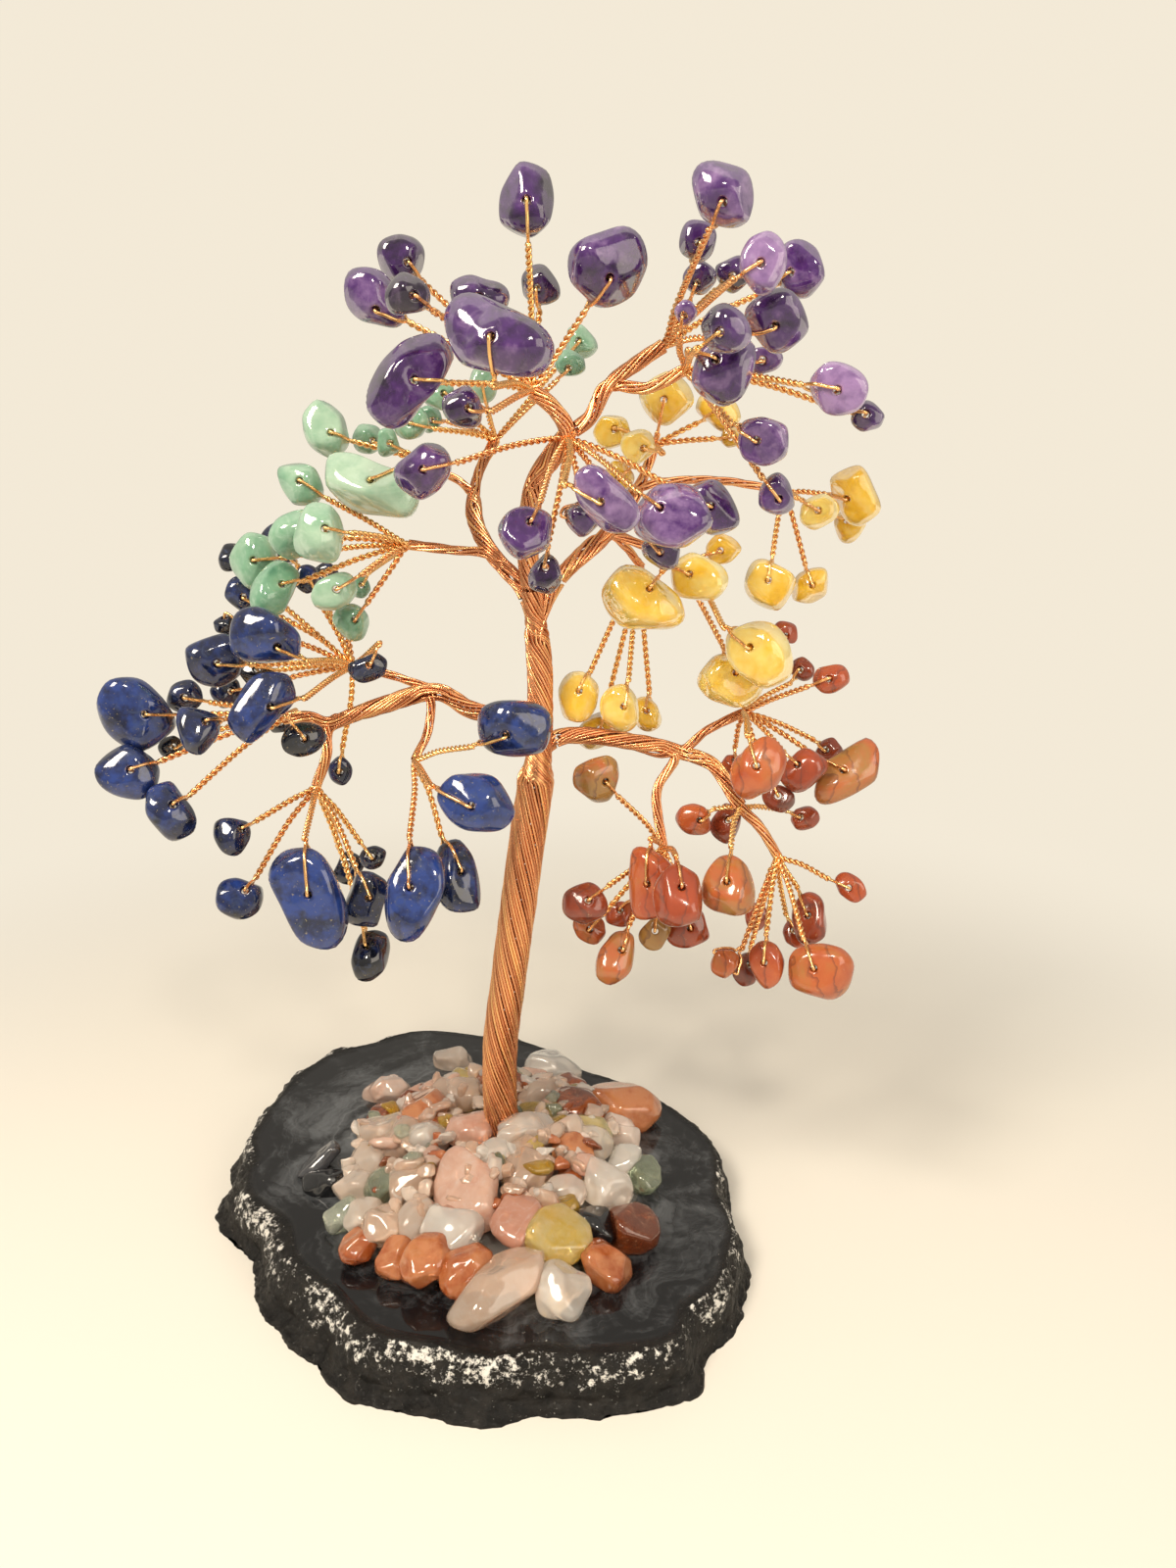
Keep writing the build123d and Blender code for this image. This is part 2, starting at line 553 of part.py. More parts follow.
# A spray: its twigs with their loops, its stones and the ball of its knot
def make_spray(name, first_number):
    bough, x, y, depth_share, reach_share, rows = spray_shares[name]
    knot = at_depth(x, y, depth_share)
    swinging = {place: node for node, (spray, place) in swinging_stones.items() if spray == name}
    stones = []
    ends = []
    loops = []
    for place, row in enumerate(rows):
        swing = swing_angle if place in swinging else 0
        made = hang_stone(first_number + place, row, knot, reach_share * twig_reach, swing)
        stone, end, hole, axis, loop = made
        stones.append(stone)
        ends.append(end)
        loops.append(loop)
        if place in swinging:
            swing_pins[swinging[place]] = (hole, axis)
    radius = knot_radius(len(rows))
    least = (2 * twig_radius + seam) / radius
    directions = spread_out([(end - knot).normalized() for end in ends], least)
    twigs = []
    for direction, end, loop in zip(directions, ends, loops):
        start = knot + direction * (radius + seam)
        twigs.append(join([twig_rod(start, direction, end), loop]))
    free = {node: stones[place] for place, node in swinging.items()}
    fixed = [stone for place, stone in enumerate(stones) if place not in swinging]
    return twigs, fixed, free


def knot_radius(twig_count):
    return knot_base + knot_growth * sqrt(twig_count)


# A bough: its limbs, the knuckle at its root and the knots at its ends, as one bundle of wire
def make_bough(name):
    shapes = []
    knuckles = {}
    passed = []
    for radius_share, places in bough_shares[name][1]:
        run = [at_depth(*place) for place in places]
        radius = radius_share * cable_radius
        limb = rod if len(run) > 2 else straight_rod
        shapes.append(limb(run, radius / knuckle_share))
        passed += places[1:-1]
        for place in (places[0], places[-1]):
            knuckles[place] = max(knuckles.get(place, 0), radius)
    for bough, x, y, depth_share, reach_share, rows in spray_shares.values():
        if bough == name:
            reach = sqrt(1 + (1 - bevel_share) ** 2)
            knuckles[x, y, depth_share] = knot_radius(len(rows)) / reach
    shapes += [make_knuckle(at_depth(*place), radius, bend_axis(name))
               for place, radius in knuckles.items() if place not in passed]
    shapes += make_stubs(name)
    return join(shapes)


# A bevelled barrel as long as it is thick, which lies along the line that a bough bends about
def make_knuckle(place, radius, along):
    body = Cylinder(radius, 2 * radius)
    body = chamfer(body.edges().filter_by(GeomType.CIRCLE), radius * bevel_share)
    return Plane(origin=place, z_dir=along).location * body


# The crown bends to the front and back, every other bough up and down
def bend_axis(bough):
    return Axis.X.direction if bough == "crown" else Axis.Y.direction


def straight_rod(places, radius):
    run = places[1] - places[0]
    body = Cylinder(radius, run.length, align=(Align.CENTER, Align.CENTER, Align.MIN))
    return Plane(origin=places[0], z_dir=run).location * body


# The stubs that boughs' knuckles turn in: dished at their ends, a joint's gap from the knuckle
def make_stubs(carrier):
    stubs = []
    for name, (carried_by, place) in stub_shares.items():
        if carried_by == carrier:
            hinge, limbs = bough_shares[name]
            radius = limbs[0][0] * cable_radius
            start = at_depth(*place)
            pivot = at_depth(*hinge)
            back = (start - pivot).normalized()
            body = straight_rod([start, pivot + back * (radius * dish_share)], radius)
            stubs.append(body - make_knuckle(pivot, radius + joint_gap, bend_axis(name)))
    return stubs


# The slice of agate: flat underside, widest edge and polished face, with sloping rims between
def make_slice():
    belt_height = slice_thickness * belt_share
    belt = [at_height(x, y, belt_height) for x, y in slice_edge_pixels]
    middle = sum(belt, Vector()) * (1 / len(belt))
    spread = slice_width / (max(p.X for p in belt) - min(p.X for p in belt))
    belt = [(p - middle) * spread + middle for p in belt]
    sections = []
    for height, inset, swing in (
        (0, undercut, 0),
        (belt_height, 0, 0),
        (slice_thickness, rim_run, rim_swing),
    ):
        ring = []
        for place in belt:
            outward = Vector(place.X - middle.X, place.Y - middle.Y, 0)
            angle = atan2(outward.Y, outward.X) - radians(rim_front_angle)
            drawn = outward * (1 - (inset + swing * cos(angle)) / outward.length)
            ring.append(Vector(middle.X + drawn.X, middle.Y + drawn.Y, height))
        sections.append(make_face(Spline(*ring, periodic=True)))
    return loft(sections, ruled=True)


# The clear resin that holds the heap: a low cap on the polished face
def make_resin():
    sphere_radius = (resin_radius ** 2 + resin_rise ** 2) / (2 * resin_rise)
    ball = Pos(0, heap_back_shift / 2, slice_thickness + resin_rise - sphere_radius) * Sphere(sphere_radius)
    block = Pos(0, 0, slice_thickness) * Box(
        4 * resin_radius, 4 * resin_radius, 2 * resin_rise,
        align=(Align.CENTER, Align.CENTER, Align.MIN))
    return ball & block


# The trunk with its stubs, and the foot that stands on the slice
def make_trunk():
    low = [Vector(foot_shift, 0, slice_thickness + 2 * seam)]
    low += [at_depth(*place) for place in trunk_shares]
    high = [at_depth(*place) for place in stem_shares]
    shapes = [
        rod(low, trunk_radius),
        make_knuckle(low[-1], trunk_radius * knuckle_share, Axis.Y.direction),
        rod(high, stem_radius),
        make_knuckle(high[-1], stem_radius * knuckle_share, Axis.Y.direction),
    ]
    shapes += make_stubs("trunk")
    return join(shapes)


# The wires' splayed ends under the heap
def make_roots():
    roots = []
    for number in range(root_count):
        angle = 2 * pi * number / root_count
        out = Vector(cos(angle), sin(angle), 0)
        foot = Vector(foot_shift, 0, slice_thickness + root_radius + seam)
        roots.append(straight_rod([foot + out * (trunk_radius + seam), foot + out * root_reach],
                                  root_radius))
    return roots


# Chips of the heap, each with its node, body, plane and half sizes
def make_chips():
    rows = [(node, *row) for node, group in chip_shares.items() for row in group]
    planes = []
    for number, (node, x, y, seen_length, seen_width, turn, outline) in enumerate(rows):
        length_share = seen_length * chip_growth_share
        width_share = seen_width * chip_growth_share
        place = on_heap(x, y, stone_thick(width_share))
        planes.append((node, length_share, width_share, outline, lying_plane(place, number, turn)))
    nodes = list(chip_shares)
    for number in range(hidden_chip_count):
        angle = pi * (number + 0.5) / hidden_chip_count
        ring = hidden_ring_share + hidden_ring_step_share * (number % 2)
        x = heap_half_width * ring * cos(angle)
        y = heap_half_depth * ring * sin(angle) + heap_back_shift
        length_share, width_share = hidden_chip_shares[number % len(hidden_chip_shares)]
        height = heap_height(x, y) + stone_thick(width_share) / 2
        plane = lying_plane(Vector(x, y, height), number, angle * 180)
        planes.append((nodes[number % 4], length_share, width_share, "oval", plane))
    chips = {node: [] for node in chip_shares}
    for first, (node, length_share, width_share, outline, plane) in enumerate(planes):
        chip = plane.location * stone_body(length_share, width_share, outline)
        for second, (_, other_length, other_width, _, other_plane) in enumerate(planes):
            apart = other_plane.origin - plane.origin
            reach = (length_share + other_length) * stone_length / 2 * corner_reach_share
            if first != second and apart.length < reach:
                near = half_size(plane, length_share, width_share, apart)
                far = half_size(other_plane, other_length, other_width, apart)
                chip = cut_back(chip, plane.origin, apart, apart.length * near / (near + far) - seam)
        from_trunk = Vector(trunk_foot_x(plane.origin) - plane.origin.X, -plane.origin.Y, 0)
        if from_trunk.length < stone_length * length_share + trunk_radius:
            room = from_trunk.length - trunk_radius - seam
            chip = cut_back(chip, plane.origin, from_trunk, room)
        floor = plane.origin.Z - slice_thickness - seam
        chip = cut_back(chip, plane.origin, Vector(0, 0, -1), floor)
        chips[node].append(chip)
    return chips


# Where the trunk's middle is beside a chip: it leans a little to the left as it rises
def trunk_foot_x(place):
    top = at_depth(*trunk_shares[0])
    share = (place.Z - slice_thickness) / (top.Z - slice_thickness)
    return foot_shift + (top.X - foot_shift) * share


# The plane of a chip that lies on the heap
def lying_plane(place, number, turn):
    slope = Vector(2 * heap_rise * place.X / heap_half_width ** 2,
                   2 * heap_rise * (place.Y - heap_back_shift) / heap_half_depth ** 2, 1)
    lean = Vector(sin(2.4 * number), cos(1.7 * number), 0) * chip_lean_share
    normal = (slope + lean).normalized()
    along = across * cos(radians(turn)) + upward * sin(radians(turn))
    return Plane(origin=place, x_dir=along - normal * along.dot(normal), z_dir=normal)


def half_size(plane, length_share, width_share, direction):
    way = direction.normalized()
    thick = stone_thick(width_share)
    spans = (length_share * stone_length, width_share * stone_length, thick)
    sides = (plane.x_dir, plane.y_dir, plane.z_dir)
    return sqrt(sum((span * way.dot(side) / 2) ** 2 for span, side in zip(spans, sides)))


# What is left of a body on the near side of a plane that lies this far along a direction
def cut_back(body, start, direction, distance):
    way = direction.normalized()
    return split(body, bisect_by=Plane(origin=start + way * distance, z_dir=way), keep=Keep.BOTTOM)


def save(name, shapes):
    bodies = []
    for shape in shapes:
        bodies += shape.solids()
    export_step(bodies[0] if len(bodies) == 1 else Compound(children=bodies), f"parts/{name}.step")


eye = Vector(eye_side, -eye_distance, eye_height)
ahead = Vector(0, cos(radians(eye_tilt)), -sin(radians(eye_tilt)))
upward = Vector(0, sin(radians(eye_tilt)), cos(radians(eye_tilt)))
across = Vector(1, 0, 0)
swing_pins = {}

save("agate_slice", [make_slice()])
save("resin_bed", [make_resin()])
save("trunk_wires", [make_trunk()])
save("trunk_roots", make_roots())
for node, chips in make_chips().items():
    save(node, chips)
for bough, node in bough_nodes.items():
    save(node, [make_bough(bough)])
number = 0
for spray, values in spray_shares.items():
    twigs, fixed, free = make_spray(spray, number)
    number += len(values[-1])
    kind = {"crown": "amethyst_", "right": "amethyst_"}.get(spray.split("_")[0], "")
    save(f"{kind}{spray}_twigs", twigs)
    save(f"{kind}{spray}_stones", fixed)
    for node, stone in free.items():
        save(node, [stone])

# Where the boughs turn and where the free stones swing
for bough, (hinge, limbs) in bough_shares.items():
    print("hinge", bough, *at_depth(*hinge))
for node, (hole, axis) in swing_pins.items():
    print("pin", node, *hole, *axis)
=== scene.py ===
import itertools
import math
import bpy
import numpy as np
from numpy.linalg import norm
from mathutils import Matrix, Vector, noise


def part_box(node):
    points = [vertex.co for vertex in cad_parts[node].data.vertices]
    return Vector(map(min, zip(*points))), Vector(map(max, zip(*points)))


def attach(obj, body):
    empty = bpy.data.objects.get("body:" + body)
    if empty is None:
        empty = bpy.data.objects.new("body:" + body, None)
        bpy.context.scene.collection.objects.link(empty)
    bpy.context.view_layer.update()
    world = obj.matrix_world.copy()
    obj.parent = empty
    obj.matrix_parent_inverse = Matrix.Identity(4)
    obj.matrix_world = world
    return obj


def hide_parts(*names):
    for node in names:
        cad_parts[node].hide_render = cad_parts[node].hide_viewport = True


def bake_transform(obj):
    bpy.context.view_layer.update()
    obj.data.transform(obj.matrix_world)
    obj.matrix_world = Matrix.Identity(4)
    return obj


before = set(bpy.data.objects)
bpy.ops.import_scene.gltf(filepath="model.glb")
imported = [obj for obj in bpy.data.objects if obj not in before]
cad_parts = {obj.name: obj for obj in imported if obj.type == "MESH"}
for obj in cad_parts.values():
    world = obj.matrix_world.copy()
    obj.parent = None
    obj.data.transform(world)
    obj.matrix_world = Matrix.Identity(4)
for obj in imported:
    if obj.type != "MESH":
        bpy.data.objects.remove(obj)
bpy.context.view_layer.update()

# Lengths are in metres and angles in degrees in every table
camera = {"place": (0.0155, -0.172, 0.124), "tilt": 16.0, "lens": 18.0, "sensor": 24.0, "nearest": 0.005}

# The eye that saw the tree's places, and its picture in pixels
eye = np.array(camera["place"])
eyeTilt = math.radians(camera["tilt"])
focalPixels, pictureMiddle = 1200.0, (600, 800)
ahead = np.array([0, math.cos(eyeTilt), -math.sin(eyeTilt)])
upward = np.array([0, math.sin(eyeTilt), math.cos(eyeTilt)])
across = np.array([1.0, 0, 0])
canopyDepth = 0.040

# The trunk and the boughs: each limb has the limb it grows from, its radius in metres and its
# places in pixels with depth shares
limbs = {
    "trunk": (None, 0.0028, [(512, 1165, 0), (510, 1075, 0), (520, 990, 0), (539, 850, 0), (549, 780, 0)]),
    "stem": ("trunk", 0.0019, [(551, 752, 0), (551, 690, 0), (547, 640, 0)]),
    "lapis": ("trunk", 0.0013, [(541, 752, 0), (521, 736, 0), (480, 724, -.03), (445, 706, -.05)]),
    "lapisOuter": ("lapis", 0.0013, [(395, 718, -.08), (340, 738, -.12)]),
    "lapis_tip": ("lapisOuter", 0.0009, [(316, 732, -.14), (290, 733, -.15)]),
    "lapis_lower": ("lapisOuter", 0.00075, [(333, 772, -.17), (323, 802, -.2)]),
    "lapis_upper": ("lapis", 0.00065, [(400, 689, 0), (362, 680, .05)]),
    "lapis_inner": ("lapis", 0.00065, [(437, 745, -.12), (423, 775, -.2)]),
    "jasper": ("trunk", 0.0013, [(562, 757, .02), (590, 750, .05), (640, 756, .08), (690, 767, .09)]),
    "jasperOuter": ("jasper", 0.0011, [(728, 781, .06)]),
    "jasper_middle": ("jasperOuter", 0.0011, [(755, 822, 0)]),
    "jasper_lower": ("jasperOuter", 0.0008, [(755, 822, 0), (777, 846, -.01), (793, 873, 0)]),
    "jasper_upper": ("jasper", 0.0007, [(722, 745, .1), (758, 727, .1)]),
    "jasper_left": ("jasper", 0.00075, [(670, 808, .03), (677, 864, -.05)]),
    "aventurine": ("stem", 0.0012, [(536, 606, .015), (525, 590, .03), (503, 566, .07)]),
    "aventurineOuter": ("aventurine", 0.0012, [(486, 535, .17), (483, 507, .26)]),
    "aventurine_top": ("aventurineOuter", 0.0008, [(490, 478, .36), (505, 450, .46)]),
    "aventurine_middle": ("aventurineOuter", 0.00065, [(470, 492, .31), (452, 482, .36)]),
    "aventurine_left": ("aventurine", 0.0007, [(460, 561, .07), (417, 556, .08)]),
    "citrine": ("stem", 0.0012, [(566, 598, .04), (585, 575, .08), (618, 546, .17)]),
    "citrineOuter": ("citrine", 0.0012, [(650, 500, .34)]),
    "citrine_upper": ("citrineOuter", 0.0008, [(660, 478, .39), (668, 455, .42)]),
    "citrine_tip": ("citrineOuter", 0.00065, [(700, 490, .42), (750, 492, .46), (800, 502, .5)]),
    "citrine_middle": ("citrine", 0.0007, [(655, 556, .26), (690, 572, .32)]),
    "citrine_hanging": ("citrine", 0.00065, [(638, 558, .28), (655, 578, .35)]),
    "crown": ("stem", 0.0015, [(543, 606, -.01), (539, 573, -.02), (540, 528, -.03), (549, 488, -.05)]),
    "crown_front": ("crown", 0.0015, [(578, 447, -.1)]),
    "crown_upper": ("crown", 0.0011, [(578, 447, -.1), (568, 420, -.11), (545, 400, -.1)]),
    "amethyst": ("crown", 0.001, [(578, 447, -.1), (603, 425, -.09), (620, 394, -.08)]),
    "right_upper": ("amethyst", 0.001, [(648, 372, -.06), (677, 353, -.05)]),
    "right_lower": ("amethyst", 0.0008, [(660, 396, -.09), (698, 378, -.1)]),
}

# Where each bough turns, how far before that its own wires start, what it turns on and its node
boughs = {
    "lapis": ((521, 736, 0), 0.0035, "base", "lapis_bough"),
    "jasper": ((590, 750, .05), 0.0035, "base", "jasper_bough"),
    "aventurine": ((525, 590, .03), 0.0035, "base", "aventurine_bough"),
    "citrine": ((585, 575, .08), 0.0035, "base", "citrine_bough"),
    "crown": ((539, 573, -.02), 0.0035, "base", "crown_stem"),
    "amethyst": ((603, 425, -.09), 0.003, "crown_branch", "amethyst_bough"),
}
softStretch = 0.0022  # half the length of the stretch around a bough's turn; nothing is bent over it

# Sprays: the bough they ride on, how light each stone is in tenths, and the free stones with their
# places among the others. A bough is named for its stones, and the crown bears amethyst too
sprays = {
    "crown_upper": ("crown", [3, 2, 5, 1, 4, 2, 4, 4, 3, 3], {0: "top_amethyst"}),
    "crown_front": ("crown", [4, 4, 2, 6, 3, 6, 4, 3], {}),
    "right_upper": ("amethyst", [6, 2, 3, 2, 8, 5, 4], {}),
    "right_lower": ("amethyst", [3, 4, 5, 6, 9, 3, 6, 4], {4: "pale_amethyst"}),
    "aventurine_left": ("aventurine", [6, 8, 5, 6, 4, 7, 5, 3], {}),
    "aventurine_middle": ("aventurine", [7, 5, 6, 9], {}),
    "aventurine_top": ("aventurine", [6, 4, 7, 5, 6, 3], {}),
    "citrine_upper": ("citrine", [6, 5, 7, 4, 5, 3], {}),
    "citrine_tip": ("citrine", [5, 7, 4, 6, 5], {}),
    "citrine_middle": ("citrine", [7, 6, 4, 8, 6], {}),
    "citrine_hanging": ("citrine", [6, 4, 7, 5], {}),
    "lapis_upper": ("lapis", [3, 7, 2, 1, 4, 2, 3, 1, 6, 5, 1, 2, 5], {}),
    "lapis_tip": ("lapis", [6, 4, 3, 0, 7, 5, 1, 2], {}),
    "lapis_lower": ("lapis", [4, 6, 8, 3, 1, 2, 4], {}),
    "lapis_inner": ("lapis", [7, 5, 10, 6], {2: "bright_lapis", 3: "corner_lapis"}),
    "jasper_upper": ("jasper", [5, 2, 3, 6, 3, 7, 2, 1, 4], {5: "wing_jasper"}),
    "jasper_middle": ("jasper", [3, 5, 2, 7], {}),
    "jasper_left": ("jasper", [8, 5, 3, 2, 6, 7, 4, 9, 3], {}),
    "jasper_lower": ("jasper", [2, 4, 6, 5, 1, 7, 3, 5], {2: "block_jasper"}),
}


# A place in the picture as a place in the tree's frame
def atDepth(x, y, depthShare):
    right, down = (x - pictureMiddle[0]) / focalPixels, (y - pictureMiddle[1]) / focalPixels
    line = ahead + across * right - upward * down
    return eye + line * ((depthShare * canopyDepth - eye[1]) / line[1])


def unit(vector):
    return vector / max(norm(vector), 1e-12)


# From one direction towards another, square to it, by an angle or by many
def swung(first, second, angle):
    return first * np.expand_dims(np.cos(angle), -1) + second * np.expand_dims(np.sin(angle), -1)


def runLengths(points):
    return np.r_[0, np.cumsum(norm(np.diff(points, axis=0), axis=1))]


def nearest(points, place):
    return np.argmin(norm(points - place, axis=1))


# Points along a smooth curve through places, evenly spaced
def smoothCurve(places, step, samples=24):
    places = np.asarray(places, float)
    padded = np.vstack([2 * places[0] - places[1], places, 2 * places[-1] - places[-2]])
    points = []
    for a, b, c, d in zip(padded, padded[1:], padded[2:], padded[3:]):
        t = np.linspace(0, 1, samples, endpoint=False)[:, None]
        points.append(0.5 * (2 * b + (c - a) * t + (2 * a - 5 * b + 4 * c - d) * t ** 2
                             + (3 * b - a - 3 * c + d) * t ** 3))
    return evenly(np.vstack(points + [places[-1:]]), step)


def evenly(points, step):
    runs = runLengths(points)
    count = max(int(round(runs[-1] / step)), 2)
    at = np.linspace(0, runs[-1], count + 1)
    return np.stack([np.interp(at, runs, points[:, i]) for i in range(3)], axis=1)


# Two directions square to a curve, carried along it without twist
def carriedFrames(points):
    tangents = np.gradient(points, axis=0)
    tangents /= np.maximum(norm(tangents, axis=1), 1e-12)[:, None]
    normal = np.array([0, -1.0, 0])
    normals = np.empty_like(points)
    for i, tangent in enumerate(tangents):
        normal = normal - tangent * normal.dot(tangent)
        length = norm(normal)
        if length < 1e-6:
            normal = np.cross(tangent, [0.31, 0.52, 0.8])
            length = norm(normal)
        normal = normal / length
        normals[i] = normal
    return tangents, normals, np.cross(tangents, normals)


def addThing(name, data):
    thing = bpy.data.objects.new(name, data)
    bpy.context.scene.collection.objects.link(thing)
    return thing


# Gathers the points, faces and per-point values of one mesh
class Shape:
    def __init__(self):
        self.points, self.quads, self.values, self.count = [], [], {}, 0

    def add(self, points, quads, **values):
        self.points.append(points)
        self.quads.append(np.asarray(quads) + self.count)
        self.count += len(points)
        for name, value in values.items():
            self.values.setdefault(name, []).append(np.broadcast_to(value, len(points)))

    def addTube(self, points, radius, sides, tone):
        tangents, normals, sideways = carriedFrames(points)
        ring = swung(normals[:, None], sideways[:, None], np.arange(sides) * (2 * math.pi / sides))
        self.addGrid(points[:, None] + ring * radius, around=True, tone=tone)

    def addGrid(self, grid, around=False, closed=False, **values):
        rows, columns = grid.shape[:2]
        index = np.arange(rows * columns).reshape(rows, columns)
        if around:
            index = np.hstack([index, index[:, :1]])
        if closed:
            index = np.vstack([index, index[:1]])
        quads = np.stack([index[:-1, :-1], index[:-1, 1:], index[1:, 1:], index[1:, :-1]], axis=-1)
        spread = {name: np.broadcast_to(value, (rows, columns)).ravel() for name, value in values.items()}
        self.add(grid.reshape(-1, 3), quads.reshape(-1, 4), **spread)

    def build(self, name, material, body, *nodes):
        points, quads = np.vstack(self.points), np.vstack(self.quads)
        mesh = bpy.data.meshes.new(name)
        mesh.vertices.add(len(points))
        mesh.vertices.foreach_set("co", points.astype(np.float32).ravel())
        mesh.loops.add(quads.size)
        mesh.loops.foreach_set("vertex_index", quads.ravel().astype(np.int32))
        mesh.polygons.add(len(quads))
        mesh.polygons.foreach_set("loop_start", np.arange(0, quads.size, 4, dtype=np.int32))
        mesh.polygons.foreach_set("use_smooth", np.ones(len(quads), bool))
        for valueName, parts in self.values.items():
            attribute = mesh.attributes.new(valueName, "FLOAT", "POINT")
            attribute.data.foreach_set("value", np.concatenate(parts).astype(np.float32))
        mesh.update(calc_edges=True)
        mesh.validate()
        mesh.materials.append(material)
        thing = addThing(name, mesh)
        if body:
            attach(thing, body)
        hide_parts(*nodes)
        return thing


# A value in a material, with sums and products that become Math nodes
class Value:
    def __init__(self, tree, socket):
        self.tree, self.socket = tree, socket

    def math(self, operation, *terms):
        return makeNode(self.tree, "Math", {"operation": operation}, dict(enumerate(terms)))

    def __add__(self, other):
        return self.math("ADD", self, other)

    def __radd__(self, other):
        return self.math("ADD", other, self)

    def __sub__(self, other):
        return self.math("SUBTRACT", self, other)

    def __rsub__(self, other):
        return self.math("SUBTRACT", other, self)

    def __mul__(self, other):
        return self.math("MULTIPLY", self, other)

    def __rmul__(self, other):
        return self.math("MULTIPLY", other, self)


def makeNode(tree, kind, settings, inputs, output=0):
    node = tree.nodes.new("ShaderNode" + kind)
    for name, value in settings.items():
        setattr(node, name, value)
    for name, value in inputs.items():
        if isinstance(value, Value):
            tree.links.new(value.socket, node.inputs[name])
        elif isinstance(value, tuple) and len(value) == 3 and node.inputs[name].type == "RGBA":
            node.inputs[name].default_value = (*value, 1)
        else:
            node.inputs[name].default_value = value
    return Value(tree, node.outputs[output])


# Builds one material: its fixed values, then its varying ones from their nodes
class Painter:
    def __init__(self, name):
        self.material = bpy.data.materials.new(name)
        self.material.use_nodes = True
        self.tree = self.material.node_tree
        self.shader = self.tree.nodes["Principled BSDF"]
        self.place = self.node("TexCoord", {}, {}, "Object")

    def node(self, kind, settings, inputs, output=0):
        return makeNode(self.tree, kind, settings, inputs, output)

    def attribute(self, name):
        return self.node("Attribute", {"attribute_name": name}, {}, "Fac")

    # The place in the piece, moved aside by a stone's own number so that no two stones are alike
    def ownPlace(self, name="seed"):
        seed = self.attribute(name)
        shift = self.node("CombineXYZ", {}, {0: seed * 0.37, 1: seed * 0.61, 2: seed * 0.17})
        return self.node("VectorMath", {"operation": "ADD"}, {0: self.place, 1: shift})

    def noise(self, scale, detail=4.0, roughness=0.55, place=None, distortion=0.0):
        return self.node("TexNoise", {}, {
            "Vector": place or self.place, "Scale": scale, "Detail": detail,
            "Roughness": roughness, "Distortion": distortion})

    def between(self, value, low, high, start=0.0, end=1.0):
        return self.node("MapRange", {"interpolation_type": "SMOOTHSTEP"},
                         {0: value, 1: low, 2: high, 3: start, 4: end})

    def ramp(self, value, *stops):
        result = self.node("ValToRGB", {}, {0: value})
        elements = result.socket.node.color_ramp.elements
        while len(elements) < len(stops):
            elements.new(0.5)
        for element, (position, colour) in zip(elements, stops):
            element.position = position
            element.color = (*colour, 1)
        return result

    def mix(self, factor, first, second, blend="MIX"):
        return self.node("Mix", {"data_type": "RGBA", "blend_type": blend},
                         {0: factor, 6: first, 7: second}, 2)

    def bump(self, height, strength, distance=0.0002):
        return self.node("Bump", {}, {"Strength": strength, "Distance": distance, "Height": height})

    def finish(self, fixed, varying):
        for name, value in fixed.items():
            socket = self.shader.inputs[name]
            socket.default_value = (*value, 1) if isinstance(value, tuple) and socket.type == "RGBA" else value
        for name, value in varying.items():
            self.tree.links.new(value.socket, self.shader.inputs[name])
        return self.material


# A pair's wire has "radius" and a bundle's has "strand". Twists are in degrees per centimetre
wire = {
    "radius": 0.00023, "strand": 0.00022, "sides": 8, "pairPitch": 0.00185, "pairOffset": 0.00024,
    "step": 0.0005, "pairStep": 0.00015, "loopStep": 0.0002, "loopEnd": 0.0011, "pairStart": 0.0025,
    "trunkTwist": -80.0, "boughTwist": -170.0, "margin": 0.0022, "inward": 3.4, "spacing": 2.12,
    "flareHeight": 0.007, "flare": 0.0022, "ripple": 0.00002, "sway": 0.035,
    "gold": (0.97, 0.6, 0.24), "copper": (0.88, 0.42, 0.2), "darkCopper": (0.55, 0.22, 0.1),
    "stain": (0.25, 0.1, 0.05), "roughness": 0.16,
}


def copperMaterial():
    paint = Painter("copperWire")
    tone = paint.attribute("tone")
    stain = paint.noise(700.0, 3.0)
    patch = paint.noise(120.0, 2.0)
    colour = paint.ramp(tone + (patch - 0.5) * 0.4,
                        (0.0, wire["darkCopper"]), (0.45, wire["copper"]), (0.95, wire["gold"]))
    colour = paint.mix(paint.between(stain, 0.64, 0.82, 0.0, 0.35), colour, wire["stain"])
    return paint.finish({"Metallic": 1.0, "IOR": 1.5},
                        {"Base Color": colour, "Roughness": stain * 0.2 + wire["roughness"]})


